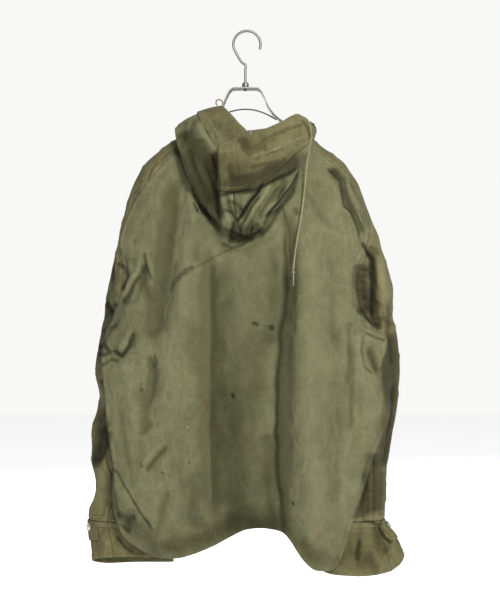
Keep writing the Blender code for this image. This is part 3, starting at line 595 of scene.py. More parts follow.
def middle_grid(node):
    """The middle of a cloth solid's wall, as rows and columns of points."""
    rows, columns, _, *marks = CUT[node]
    marks = np.array(marks) * (1.0, 1.0, -1.0) * MM
    mesh = bmesh.new()
    mesh.from_mesh(NODES[node].data)
    bmesh.ops.remove_doubles(mesh, verts=mesh.verts, dist=1e-5)
    rim = [f for f in mesh.faces if any(is_wall_thick(edge) for edge in f.edges)]
    bmesh.ops.delete(mesh, geom=rim, context="FACES")
    left = set(mesh.faces)
    layers = []
    while left:
        found = [left.pop()]
        for face in found:
            for edge in face.edges:
                for other in edge.link_faces:
                    if other in left:
                        left.discard(other)
                        found.append(other)
        layers.append(turned_to(walked(found, rows, columns, marks[0]), rows, columns, marks))
    mesh.free()
    return (layers[0] + layers[1]) / 2


def even_places(grid, axis, cell):
    """Where to read a grid along one axis so that its cells come out that many millimetres wide."""
    steps = np.linalg.norm(np.diff(grid, axis=axis), axis=2).mean(axis=1 - axis)
    length = np.concatenate([[0.0], np.cumsum(steps)])
    count = max(4, round(length[-1] / (cell * COARSER * MM)) + 1)
    return np.interp(np.linspace(0, length[-1], count), length, np.arange(len(length)))


def finer(grid, cell):
    """The grid read again at an even cell size, on smooth curves both ways."""
    down = even_places(grid, 0, cell)
    across = even_places(grid, 1, cell)
    tall = through(grid, down)
    return through(tall.transpose(1, 0, 2), across).transpose(1, 0, 2)


def normals_of(grid):
    across = np.gradient(grid, axis=1)
    down = np.gradient(grid, axis=0)
    normal = np.cross(down, across)
    return normal / np.maximum(np.linalg.norm(normal, axis=2, keepdims=True), 1e-12)


def arc(grid, axis):
    """Distance along each row or column from its start, in metres."""
    steps = np.linalg.norm(np.diff(grid, axis=axis), axis=2)
    start = np.zeros_like(np.take(steps, [0], axis=axis))
    return np.concatenate([start, np.cumsum(steps, axis=axis)], axis=axis)


def in_photo(grid):
    """Where points of the part lie in the photograph, in its pixels."""
    scale = -EYE[1] / (grid[..., 1] / MM - EYE[1]) / PIXEL
    x = PHOTO_MIDDLE[0] + (grid[..., 0] / MM - EYE[0]) * scale
    y = PHOTO_MIDDLE[1] + (EYE[2] - grid[..., 2] / MM) * scale
    return x, y


def soft_step(t):
    t = np.clip(t, 0.0, 1.0)
    return t * t * (3 - 2 * t)


def noise_at(grid, scale, seed=0.0):
    """Smooth noise from -1 to 1 at points in metres, its scale in waves a metre."""
    flat = grid.reshape(-1, 3) * scale
    found = [noise.noise((x + seed, y + seed * 1.7, z - seed)) for x, y, z in flat]
    return np.array(found).reshape(grid.shape[:2])


def near_line(x, y, line):
    """Distance from a line of points, which side of it, and the share of the way along it."""
    best = np.full(x.shape, 1e9)
    side = np.zeros(x.shape)
    share = np.zeros(x.shape)
    line = np.array(line)
    lengths = np.linalg.norm(np.diff(line, axis=0), axis=1)
    total = lengths.sum()
    done = 0.0
    for start, end, length in zip(line, line[1:], lengths):
        along = (end - start) / length
        dx, dy = x - start[0], y - start[1]
        t = np.clip(dx * along[0] + dy * along[1], 0, length)
        off = np.hypot(dx - along[0] * t, dy - along[1] * t)
        closer = off < best
        best = np.where(closer, off, best)
        side = np.where(closer, np.sign(dx * along[1] - dy * along[0]), side)
        share = np.where(closer, (done + t) / total, share)
        done += length
    return best, side, share


def marked(x, y, lines, narrower, ending, start, power):
    """Sum of given lines: height in the middle, one flank steeper, the ends fading out."""
    total = np.zeros(x.shape)
    for line, half_width, height, *steep in lines:
        off, side, share = near_line(x, y, line)
        lean = sum(steep)
        width = narrower * half_width * np.where(side > 0, 1 - lean, 1 + lean)
        fade = soft_step(share / ending + start) * soft_step((1 - share) / ending + start)
        total += height * fade * np.exp(-((off / width) ** power))
    return total


def creases(x, y, folds):
    """How far the creases lift the cloth at points given in the photograph's pixels."""
    return marked(x, y, folds, narrower=0.78, ending=0.22, start=0.12, power=1.5)


# Creases seen in the photograph, by its pixels: line, half width, rise in millimetres outward,
# and steepness of the line's right flank as it is walked, where the flanks aren't alike
BACK_CREASES = (
    (((178, 172), (171, 215), (166, 255), (160, 300), (152, 352)), 12, -7.0, 0.2),
    (((192, 172), (187, 215), (184, 255), (179, 300), (170, 352)), 14, 4.5, -0.25),
    (((152, 352), (147, 400), (142, 440)), 9, -3.5, 0.2),
    (((170, 352), (164, 400), (158, 440)), 12, 2.6, -0.2),
    (((152, 190), (144, 230), (141, 262)), 12, 2.4),
    (((207, 232), (209, 300), (210, 370), (209, 430), (212, 490), (215, 536)), 12, -7.5, 0.1),
    (((238, 236), (238, 300), (239, 370), (241, 430), (246, 490), (250, 530)), 15, 4.5, -0.2),
    (((222, 300), (222, 380), (226, 460)), 4, -1.2),
    (
        ((283, 205), (287, 240), (286, 290), (281, 340), (277, 400), (278, 460), (283, 515), (288, 548)),
        7, -9.0, -0.35,
    ),
    (((288, 208), (293, 250), (293, 300), (290, 360), (288, 430), (290, 500)), 9, -3.5),
    (((307, 215), (311, 260), (312, 340), (312, 420), (312, 500), (316, 560)), 15, 5.5, -0.25),
    (((270, 230), (272, 300), (268, 380), (268, 460), (274, 520)), 8, 2.6, 0.2),
    (((246, 345), (250, 420), (256, 480)), 5, -1.6),
    (((121, 303), (128, 286), (137, 270), (142, 262)), 3.0, 5.2, 0.35),
    (((118, 250), (125, 262), (127, 276), (121, 296)), 4.5, -5.2, 0.2),
    (((146, 262), (143, 284), (148, 300), (158, 306)), 4.5, -4.4, 0.2),
    (((150, 250), (150, 272), (154, 290)), 3.5, 2.4),
    (((112, 348), (121, 357), (130, 345), (135, 329)), 3.2, -6.0, 0.2),
    (((118, 352), (127, 340), (131, 326)), 3.2, 3.4),
    (((104, 345), (112, 333), (124, 318)), 4.0, 4.4),
    (((112, 372), (122, 366), (130, 372)), 4.0, 2.4),
    (((149, 352), (156, 372), (152, 396), (142, 412)), 4.2, -4.4, 0.2),
    (((138, 352), (146, 368), (144, 392)), 4.2, 2.6, 0.2),
    (((167, 446), (157, 457), (145, 474)), 3.4, -4.4, 0.25),
    (((160, 442), (150, 456), (138, 470)), 3.4, 2.6),
    (((152, 420), (144, 430), (134, 436)), 3.2, -2.8),
    (((126, 372), (132, 400), (136, 440)), 5, 3.0),
    (((120, 400), (124, 440), (130, 480)), 5, -2.4),
    (((170, 486), (160, 512), (158, 540)), 6, -3.2),
    (((196, 470), (186, 500), (184, 545)), 8, 2.8),
    (((184, 424), (188, 428), (191, 434)), 2.2, -1.8),
    (((176, 470), (190, 462), (204, 452)), 4, 1.6),
    (((340, 300), (341, 350), (343, 410)), 3.4, 3.0, 0.25),
    (((350, 330), (353, 380), (350, 440)), 5, -3.6, 0.1),
    (((359, 318), (363, 350), (361, 392)), 3.4, 3.4, 0.1),
    (((332, 420), (338, 470), (330, 520)), 7, -3.0),
    (((346, 430), (342, 480), (336, 530)), 5, 2.8),
    (((326, 235), (332, 290), (330, 360)), 10, -3.4),
    (((300, 186), (318, 214), (340, 236)), 6, -2.6),
    (((334, 206), (345, 240), (347, 286)), 6, 3.2),
    (((322, 196), (334, 206), (352, 214)), 4, 2.0),
    (((264, 470), (268, 500), (276, 526)), 5, -2.8),
    (((214, 232), (228, 250), (245, 252), (262, 238)), 6, -3.0),
    (((268, 214), (278, 204), (288, 190)), 4, -2.4),
    (((150, 205), (138, 230), (133, 250)), 5, -3.0),
    (((188, 176), (198, 200), (208, 216)), 5, -2.6),
    (((363, 334), (374, 338), (385, 342)), 2.6, 4.0, 0.3),
    (((366, 348), (372, 362), (378, 378)), 4, -4.4),
    (((384, 346), (380, 360), (380, 378)), 2.6, 2.4),
)
SLEEVE_CREASES = (
    (((362, 241), (372, 260), (374, 282), (372, 300), (373, 322)), 3.6, -8.0, -0.3),
    (((380, 250), (383, 280), (381, 316)), 4.0, 4.0, 0.2),
    (((357, 262), (356, 285), (358, 306)), 2.6, 2.8),
    (((360, 268), (369, 270)), 1.8, -2.4),
    (((359, 282), (368, 283)), 1.8, -2.4),
    (((359, 296), (368, 297)), 1.8, -2.4),
    (((360, 309), (370, 309)), 1.8, -2.4),
    (((362, 275), (369, 276)), 1.8, 1.8),
    (((361, 289), (368, 290)), 1.8, 1.8),
    (((361, 303), (369, 303)), 1.8, 1.8),
    (((390, 292), (388, 330), (393, 372)), 4, -5.0),
    (((396, 310), (397, 350), (396, 390)), 4, 3.0),
    (((383, 350), (386, 400), (384, 440)), 5, 4.6),
    (((393, 380), (390, 425), (382, 462)), 4, -5.4, 0.2),
    (((378, 440), (376, 480), (378, 520)), 3, 3.6, 0.1),
    (((368, 470), (364, 500), (361, 524)), 4, -4.6, 0.2),
    (((378, 455), (388, 468)), 2.4, -2.8),
    (((377, 472), (387, 480)), 2.4, -2.8),
    (((376, 489), (386, 492)), 2.4, -2.8),
    (((376, 505), (386, 506)), 2.4, -2.8),
    (((340, 172), (354, 190), (366, 214), (372, 240)), 4, 3.6),
    (((350, 182), (362, 204), (371, 232)), 3.2, -3.4),
    (((366, 246), (376, 250), (384, 262)), 3, -3.0),
    (((106, 250), (114, 262), (110, 284)), 4.0, -5.0),
    (((118, 258), (117, 284), (110, 306)), 3.6, 4.2),
    (((103, 298), (112, 312), (110, 336)), 4.0, -5.0, 0.1),
    (((99, 347), (106, 346), (110, 354)), 2.8, -5.4),
    (((97, 366), (106, 362), (112, 370)), 3.0, 4.4),
    (((96, 380), (106, 384), (111, 396)), 3.6, -5.0),
    (((110, 398), (102, 420), (95, 450), (92, 470)), 4.2, -8.0, 0.2),
    (((101, 396), (95, 422), (91, 446)), 3.2, 4.0),
    (((110, 440), (104, 456), (96, 462)), 3.4, -6.0),
    (((108, 456), (99, 486), (90, 522)), 6, 5.0, 0.1),
    (((112, 468), (115, 496), (119, 522)), 3.4, -5.0, 0.1),
    (((93, 476), (96, 490), (93, 506)), 3, -3.4),
    (((164, 164), (146, 186), (134, 214), (128, 236)), 4, 3.0),
    (((154, 168), (140, 190), (128, 218)), 3.2, -3.0),
)
HOOD_CREASES = (
    (((178, 130), (186, 152), (196, 180), (212, 212), (228, 228)), 5, 3.0),
    (((198, 126), (209, 142), (218, 153)), 3.4, 5.5, 0.35),
    (((186, 146), (196, 176), (210, 212)), 8, -9.0),
    (((208, 152), (213, 172), (218, 194)), 3.6, 3.4, 0.2),
    (((203, 156), (211, 178), (219, 202)), 3, -4.6),
    (((192, 152), (200, 166), (206, 186)), 3, 2.4),
    (((264, 181), (250, 202), (236, 224)), 2.8, -8.0, 0.4),
    (((272, 183), (258, 204), (246, 221)), 3.2, 5.0, 0.2),
    (((281, 184), (268, 204), (256, 224)), 3.0, -5.0, 0.1),
    (((291, 178), (279, 196), (262, 216)), 3.4, 4.0),
    (((226, 198), (231, 212), (234, 226)), 3, -4.4),
    (((221, 194), (225, 210), (226, 224)), 2.4, 3.0),
    (((241, 190), (246, 200), (244, 212)), 3.0, 2.6),
    (((233, 218), (234, 228), (233, 236)), 1.8, -3.0),
    (((240, 216), (241, 228), (240, 236)), 1.8, 3.0),
    (((248, 216), (248, 228), (247, 236)), 1.8, -3.0),
    (((256, 212), (257, 222), (257, 232)), 1.8, 2.6),
    (((200, 112), (212, 124), (222, 142)), 5, 3.0),
    (((222, 108), (232, 122), (244, 134)), 3.4, -2.6),
    (((186, 118), (184, 132), (186, 146)), 4, -3.4),
    (((192, 116), (196, 124), (206, 130)), 4, 2.4),
)
BAND_CREASES = (
    (((224, 148), (226, 168), (228, 188)), 3, 0.8),
    (((262, 140), (268, 156), (274, 174)), 5, -1.2),
    (((280, 132), (288, 148), (292, 164)), 5, 1.3),
    (((250, 150), (276, 142), (302, 132)), 3, -0.8),
    (((252, 170), (276, 160), (300, 150)), 3, 0.9),
    (((304, 120), (308, 136), (303, 154)), 3, -1.0),
)
CUFF_CREASES = (
    (((378, 524), (384, 535), (393, 543)), 2.6, -2.8, 0.3),
    (((360, 522), (359, 546), (356, 562)), 2.8, -2.2, 0.2),
    (((362, 524), (361, 543), (362, 560)), 2.2, 1.6),
    (((343, 540), (346, 556), (344, 572)), 4, 1.6),
    (((370, 540), (374, 556), (378, 568)), 4, 1.4),
    (((396, 534), (398, 546), (402, 556)), 3, -1.4),
    (((92, 528), (96, 544), (98, 558)), 4, -1.4),
    (((104, 524), (108, 542), (112, 558)), 4, 1.3),
    (((118, 522), (121, 540), (128, 556)), 3.2, -1.6),
)
# Creases of the sides that the photograph doesn't show, on the same scale, seen from behind
FRONT_CREASES = (
    (((196, 214), (204, 300), (206, 380), (204, 500)), 9, -2.4, 0.2),
    (((170, 260), (164, 330), (168, 400)), 8, 1.8),
    (((182, 420), (190, 480), (188, 540)), 8, -2.0),
    (((150, 330), (146, 400), (152, 470)), 7, 1.8),
    (((300, 210), (292, 300), (296, 400), (292, 500)), 9, -2.4, -0.2),
    (((326, 240), (334, 320), (328, 400)), 8, 1.8),
    (((318, 420), (312, 480), (318, 545)), 8, -2.0),
    (((352, 330), (350, 400), (344, 480)), 7, 1.7),
    (((150, 250), (172, 276), (196, 286)), 5, -1.8, 0.1),
    (((346, 256), (326, 280), (300, 292)), 5, -1.8, 0.1),
    (((150, 480), (170, 500), (186, 506)), 4, 1.4),
    (((340, 492), (320, 508), (300, 512)), 4, 1.4),
)
SLEEVE_FRONT_CREASES = (
    (((120, 262), (112, 300), (116, 340)), 5, -2.6, 0.1),
    (((104, 300), (102, 350), (108, 400)), 5, 2.2),
    (((118, 372), (106, 384), (98, 404)), 3.6, -2.4, 0.2),
    (((118, 392), (106, 404), (98, 420)), 3.6, 2.0),
    (((114, 430), (104, 456), (100, 500)), 4, -2.2),
    (((372, 262), (380, 300), (374, 340)), 5, -2.6, -0.1),
    (((388, 300), (390, 350), (384, 400)), 5, 2.2),
    (((374, 372), (384, 384), (392, 404)), 3.6, -2.4, -0.2),
    (((374, 392), (384, 404), (392, 420)), 3.6, 2.0),
    (((366, 430), (374, 456), (372, 500)), 4, -2.2),
)

# Kinds of stain: tint, the most of it that shows, and how ragged its edge is
STAIN_LOOKS = {
    "soil": (SOIL, 0.70, 1.2),
    "spot": (SOIL, 0.85, 0.35),
    "brown": (WORN_DEEP, 0.60, 0.7),
    "rust": (RUST, 0.34, 0.4),
    "chalk": (CHALK, 0.7, 0.8),
}
# Stains by the photograph's pixels, and darker marks said where they stand: line, half width, strength
STAINS = {
    "soil": (
        (((232, 247), (214, 256), (200, 264), (192, 268)), 2.4, 0.62),
        (((192, 268), (182, 276), (175, 284), (172, 290)), 4.2, 0.7),
        (((224, 242), (232, 247), (242, 246), (248, 240)), 2.6, 0.85),
        (((142, 388), (142, 390)), 2.6, 0.8),
        (((155, 354), (157, 362), (154, 368)), 2.2, 0.75),
        (((149, 332), (151, 336)), 3.0, 0.6),
        (((141, 464), (142, 466)), 2.6, 0.75),
        (((161, 472), (163, 474)), 1.8, 0.8),
        (((189, 460), (190, 462)), 1.6, 0.8),
        (((198, 474), (199, 475)), 1.5, 0.7),
        (((184, 234), (185, 235)), 1.3, 0.8),
        (((145, 251), (146, 253)), 1.3, 0.7),
        (((139, 266), (140, 268)), 1.2, 0.7),
        (((120, 514), (128, 520), (133, 518)), 5.0, 0.75),
        (((124, 526), (130, 530)), 3.6, 0.7),
        (((118, 538), (124, 546), (133, 552)), 2.4, 0.8),
        (((384, 318), (390, 324)), 5.0, 0.7),
        (((246, 146), (252, 150)), 2.4, 0.7),
        (((268, 142), (275, 138)), 1.6, 0.7),
        (((250, 176), (262, 172), (274, 168)), 1.8, 0.6),
        (((234, 236), (250, 238), (262, 230)), 4.0, 0.8),
        (((190, 150), (198, 172), (212, 204)), 7.0, 0.42),
    ),
    "spot": (
        (((253, 323), (257, 325)), 2.9, 0.80),
        (((264, 325), (265, 326)), 1.6, 0.7),
        (((271, 326), (273, 328)), 3.4, 0.95),
        (((232, 394), (233, 396)), 2.2, 1.2),
        (((293, 503), (294, 505)), 1.8, 1.0),
        (((195, 204), (198, 213)), 1.3, 1.0),
        (((199, 203), (202, 215)), 1.3, 1.0),
        (((203, 204), (206, 216)), 1.4, 1.3),
        (((207, 207), (209, 218)), 1.3, 1.2),
        (((196, 212), (203, 206)), 1.0, 0.8),
    ),
    "brown": (
        (
            ((130, 524), (160, 548), (200, 540), (236, 520), (280, 526), (312, 556), (334, 560)),
            13.0, 0.55,
        ),
        (((328, 170), (340, 186), (350, 212)), 4.0, 0.7),
        (((384, 262), (390, 280), (392, 300)), 3.0, 0.6),
        (((350, 180), (360, 202), (368, 226)), 4.0, 0.6),
        (((284, 208), (289, 234), (290, 264)), 1.6, 0.85),
        (((284, 208), (276, 204), (268, 210)), 1.6, 0.6),
        (((295, 211), (297, 214)), 3.2, 1.0),
        # Darker along the long fold valley left of the back's middle
        (((212, 240), (214, 330), (216, 430), (222, 520)), 8.0, 0.30),
        (((206, 404), (214, 420), (222, 436)), 9.0, 0.55),
        (((340, 372), (350, 386)), 9.0, 0.45),
        # Darker along the long fold valley right of the back's middle
        (((292, 300), (288, 400), (292, 520)), 9.0, 0.30),
        (((232, 540), (250, 520), (272, 512)), 9.0, 0.34),
        (((368, 560), (376, 570)), 7.0, 0.75),
        (((106, 470), (112, 500), (118, 522)), 5.0, 0.4),
        (((196, 122), (192, 130)), 5.0, 0.75),
        (((242, 140), (250, 152), (262, 146)), 6.0, 1.0),
        (((230, 184), (246, 180), (270, 172), (300, 158)), 7.0, 1.0),
        (((252, 166), (270, 164), (284, 158)), 2.2, 1.0),
        (((256, 160), (272, 152), (284, 150)), 1.6, 0.8),
        (((262, 140), (284, 130), (300, 126)), 3.0, 0.8),
        (((229, 166), (232, 178), (226, 186)), 4.0, 1.0),
        (((176, 150), (180, 156)), 4.0, 0.7),
        (((172, 166), (160, 180), (148, 196)), 5.0, 0.45),
        (((140, 190), (130, 212)), 5.0, 0.45),
        # Painted shade over the outer right sleeve, not a stain
        (((380, 250), (392, 300), (396, 360), (394, 430)), 6.0, 0.35),
        (((226, 205), (240, 222), (258, 216), (284, 192)), 8.0, 0.3),
        (((114, 262), (110, 300), (104, 344)), 6.0, 0.3),
    ),
    "rust": (
        (((318, 530), (319, 537)), 1.7, 1.0),
        (((320, 556), (320, 560)), 2.4, 0.7),
        (((201, 400), (202, 410)), 3.2, 0.62),
        (((174, 521), (178, 524)), 3.4, 0.6),
        (((212, 424), (220, 430)), 5.0, 0.45),
        (((372, 548), (374, 550)), 2.6, 0.5),
    ),
    "chalk": (
        (((187, 425), (188, 427)), 0.8, 1.0),
    ),
}


# Painted shade and highlight by the photograph's pixels: darkened as painted shade in folds, hollows,
# under the hood and over broad stretches, or paled (negative) as painted highlight on fold edges:
# line, half width, depth, and steepness of the line's right flank where the flanks aren't alike
PAINTED_SHADING = (
    (((213, 256), (213, 330), (212, 430), (215, 520)), 17, 0.54, -0.85),
    (((232, 380), (234, 470), (236, 560)), 15, 0.20),
    (((257, 240), (256, 400), (257, 545)), 24, 0.30),
    (((254, 330), (253, 440), (255, 560)), 22, 0.18),
    (((274, 240), (275, 290), (271, 350)), 8, 0.40),
    (((270, 430), (270, 480), (276, 530)), 8, 0.36),
    (((284, 262), (286, 300), (282, 350), (278, 410), (279, 470), (285, 540)), 12, 0.42, -0.75),
    (((284, 222), (286, 290), (281, 350), (277, 410), (279, 470), (285, 536)), 1.7, 0.50),
    (((322, 290), (324, 400), (318, 540)), 20, 0.20),
    (((193, 218), (196, 240), (196, 264)), 8, 0.40),
    (((119, 262), (118, 310), (118, 362)), 8, 0.30),
    (((134, 256), (136, 266), (144, 274)), 6, 0.40),
    (((158, 340), (158, 400), (156, 430)), 5, 0.25),
    (((182, 400), (184, 460), (190, 530)), 14, 0.30),
    (((198, 470), (196, 500), (196, 530)), 10, 0.36),
    (((132, 508), (131, 520), (124, 530)), 7, 0.50),
    (((207, 262), (208, 340), (206, 420)), 3.4, -0.22, 0.4),
    (((180, 178), (174, 232), (167, 290), (157, 345)), 8, 0.36, 0.45),
    (((178, 260), (172, 300), (163, 335)), 2.2, 0.3),
    (((196, 240), (194, 300), (190, 360)), 8, 0.12),
    (((206, 218), (220, 244), (250, 250), (275, 226)), 11, 0.22),
    (((393, 328), (391, 390), (389, 430), (382, 470)), 9, 0.80),
    (((386, 352), (384, 380), (390, 404)), 5, 0.50),
    (((380, 246), (387, 285), (391, 330)), 7, -0.45),
    (((377, 298), (378, 316), (377, 330)), 4, 1.1),
    (((360, 262), (361, 285), (366, 316)), 9, 1.05),
    (((362, 240), (371, 258), (373, 282), (371, 300), (373, 322)), 2.3, 1.5),
    (((378, 262), (381, 290), (380, 318)), 3.2, -0.45),
    (((357, 308), (366, 318), (376, 326)), 3.0, 1.0),
    (((360, 268), (369, 270)), 1.2, 0.5),
    (((359, 275), (369, 276)), 1.2, 0.4),
    (((359, 283), (368, 284)), 1.2, 0.5),
    (((358, 291), (368, 291)), 1.2, 0.4),
    (((359, 298), (368, 299)), 1.2, 0.5),
    (((361, 307), (369, 307)), 1.2, 0.4),
    (((364, 330), (375, 334), (386, 338)), 1.6, -0.8),
    (((365, 334), (375, 338), (384, 341)), 1.4, 0.7),
    (((386, 339), (382, 352), (379, 368)), 1.5, -0.6),
    (((362, 334), (361, 350), (362, 366), (372, 376)), 1.8, 0.6),
    (((358, 328), (358, 350), (360, 372)), 1.6, -0.6),
    (((369, 345), (372, 358), (377, 372)), 5.0, 0.55),
    (((346, 300), (344, 330), (345, 372)), 2.4, -0.4),
    (((349, 318), (350, 350), (348, 384)), 2.4, 0.35),
    (((372, 452), (372, 490), (372, 515)), 10, 0.4),
    (((366, 470), (362, 498), (355, 520)), 3.0, 0.6),
    (((108, 428), (101, 448), (94, 468)), 8, 1.0),
    (((110, 420), (102, 440), (94, 466)), 3, 0.6),
    (((378, 526), (379, 544), (390, 552)), 8, 0.55),
    (((104, 300), (103, 330), (99, 360)), 6, 0.6),
    (((108, 452), (99, 486), (90, 520)), 5, -0.3),
    (((112, 466), (115, 494), (119, 522)), 3, 0.7),
    (((186, 128), (192, 150), (200, 174), (209, 200), (220, 222)), 13, 0.85),
    (((203, 138), (206, 156), (210, 176)), 7, 0.45),
    (((292, 128), (300, 138), (304, 152)), 8, 0.20),
    (((208, 152), (213, 172), (217, 198), (222, 216)), 6, 0.55),
    (((184, 132), (188, 142), (196, 148)), 6, 0.30),
    (((197, 124), (206, 136), (214, 148)), 3, -0.35),
    (((230, 204), (248, 212), (270, 198), (290, 181)), 12, 0.62),
    (((263, 182), (250, 203), (236, 223)), 1.4, 2.2),
    (((271, 184), (258, 204), (246, 221)), 2.0, -0.9),
    (((260, 196), (250, 212), (242, 224)), 1.2, 0.9),
    (((299, 172), (284, 194), (266, 217)), 1.4, 1.6),
    (((294, 176), (280, 196), (266, 212)), 1.2, -0.6),
    (((284, 186), (276, 202), (264, 218)), 1.2, 1.0),
    (((282, 180), (272, 196), (262, 210)), 2.2, -0.45, 0.5),
    (((222, 195), (243, 191), (256, 188), (273, 181), (292, 171), (298, 167)), 2.2, 1.5),
    (((228, 200), (240, 204), (244, 214)), 1.2, 0.8),
    (((224, 209), (233, 213), (236, 222)), 1.1, 0.9),
    (((262, 224), (270, 214), (280, 208)), 1.4, 0.9),
    (((223, 197), (225, 210), (228, 222)), 2.2, -0.6),
    (((230, 228), (245, 232), (260, 226)), 5, 1.1),
    (((232, 222), (232, 230), (230, 236)), 1.4, 0.8),
    (((242, 222), (242, 230), (241, 236)), 1.3, 0.8),
    (((251, 220), (252, 228), (251, 233)), 1.3, 0.7),
    (((228, 238), (240, 241), (254, 238)), 3, 0.7),
    (((228, 184), (246, 180), (270, 171), (300, 158)), 11, 0.72),
    (((240, 146), (252, 142), (264, 134)), 8, 0.45),
    (((232, 168), (244, 164), (256, 158)), 7, 0.35),
    (((300, 172), (290, 197), (272, 222), (258, 238)), 2.4, 0.8),
    (((176, 146), (188, 176), (204, 210), (220, 232)), 2.8, 0.8),
    (((218, 146), (218, 170), (220, 190)), 1.4, 0.7),
    (((222, 150), (226, 176), (230, 188)), 6, 0.3),
    (((232, 150), (236, 172), (240, 184)), 8, 0.25),
    (((126, 520), (160, 548), (200, 543), (236, 522), (280, 528), (312, 558), (336, 562)), 14, 0.5),
    (((336, 330), (344, 380), (340, 430)), 6, 0.18),
    (((326, 168), (339, 180), (344, 206), (350, 213), (361, 240)), 1.2, 0.9),
    (((329, 166), (343, 180), (349, 204), (356, 216), (364, 236)), 3.6, 0.8),
    (((350, 182), (357, 202), (366, 226)), 1.2, 0.5),
    (((347, 184), (354, 204), (362, 222)), 1.0, -0.4),
    (((354, 186), (362, 206), (370, 230)), 2.4, -0.35),
    (((112, 250), (110, 280), (106, 310)), 6, 0.45),
    (((120, 301), (128, 285), (137, 271), (141, 262)), 1.5, -1.0),
    (((124, 304), (132, 290), (140, 276)), 2.2, 1.0),
    (((118, 262), (126, 268), (128, 278), (122, 292)), 2.2, 0.8),
    (((122, 256), (130, 264), (134, 270)), 1.6, -0.4),
    (((146, 252), (147, 268), (152, 280)), 1.6, 0.7),
    (((103, 318), (110, 310), (118, 304)), 1.8, 0.8),
    (((100, 330), (110, 330), (120, 326)), 1.6, 0.6),
    (((102, 366), (112, 360), (120, 362)), 1.8, 0.7),
    (((116, 372), (126, 366), (134, 370)), 1.6, -0.4),
    (((96, 352), (104, 356), (112, 352)), 1.6, 0.7),
    (((144, 262), (143, 284), (136, 300), (124, 306)), 3.6, 0.5),
    (((112, 350), (121, 357), (129, 346), (134, 331)), 1.8, 0.9),
    (((120, 352), (127, 342), (131, 330)), 2.2, -0.35),
    (((104, 346), (112, 334), (122, 320)), 2.0, 0.5),
    (((98, 347), (104, 345), (110, 352)), 1.8, 1.0),
    (((149, 356), (155, 374), (150, 400)), 2.4, 0.3),
    (((114, 466), (132, 498), (153, 531)), 1.5, 0.8),
    (((167, 446), (157, 458), (146, 472)), 2.4, 0.4),
    (((162, 442), (152, 455), (140, 468)), 1.8, -0.4),
    (((118, 468), (136, 498), (156, 528)), 1.8, -0.4),
    (((361, 521), (377, 525), (385, 520)), 1.6, 0.9),
    (((354, 530), (352, 550), (350, 572)), 14, 0.38),
    (((374, 450), (371, 490), (368, 520)), 12, 0.34),
    (((196, 262), (196, 320), (194, 370)), 9, 0.14),
    (((378, 525), (385, 536), (393, 543)), 1.8, 1.1),
    (((359, 540), (357, 560)), 1.8, 0.7),
    (((102, 534), (110, 546), (116, 556)), 6, -0.3),
    (((206, 118), (222, 128), (238, 138)), 10, 0.38),
    (((356, 556), (372, 562), (392, 560)), 12, 0.3),
    (((386, 470), (380, 490), (378, 512)), 9, 0.3),
    (((330, 380), (336, 430), (330, 480)), 14, 0.14),
    (((184, 262), (184, 330), (176, 380)), 9, 0.12),
)


def painted_shading_at(x, y):
    """Painted shade (positive) or painted highlight (negative) at points in the photograph's pixels."""
    return np.clip(marked(x, y, PAINTED_SHADING, narrower=1.0, ending=0.12, start=0.25, power=2.4), -1, 2)


# Rows of stitches away from the seams, by the photograph's pixels: line, half the rows' gap in
# millimetres
SEWN = {
    "hood_edge_band": (
        (((234, 141), (239, 162), (246, 188)), 2.6),
        (((252, 157), (280, 147), (309, 135)), 1.6),
        (((220, 148.5), (235, 146.5)), 6.8),
    ),
    "sleeve_right": ((((356.5, 258), (355.5, 285), (358, 308)), 1.2),),
}
SEWN_ROWS = max(len(rows) for rows in SEWN.values())


def line_offset(x, y, line):
    """Signed metres from a line given in the photograph's pixels, far off beyond its ends."""
    off, side, share = near_line(x, y, line)
    beyond = (share < 0.005) | (share > 0.995)
    return np.where(beyond, 1.0, off * side * PIXEL * MM)


def stain_amounts(x, y):
    """How strong each kind of stain and the painted shading are at points given in the photograph's
    pixels.
    """
    amounts = {}
    for kind, stains in STAINS.items():
        amounts[kind] = np.zeros(x.shape)
        for line, half_width, strength in stains:
            off, _, _ = near_line(x, y, line)
            amount = strength * np.exp(-((off / half_width) ** 2))
            amounts[kind] = np.maximum(amounts[kind], amount)
    amounts["painted_shading"] = painted_shading_at(x, y)
    return amounts


def facing(normal, direction):
    """How much the cloth faces a direction, softly from 0 to 1."""
    return soft_step(np.tensordot(normal, direction, axes=([2], [0])) / 0.45 + 0.25)


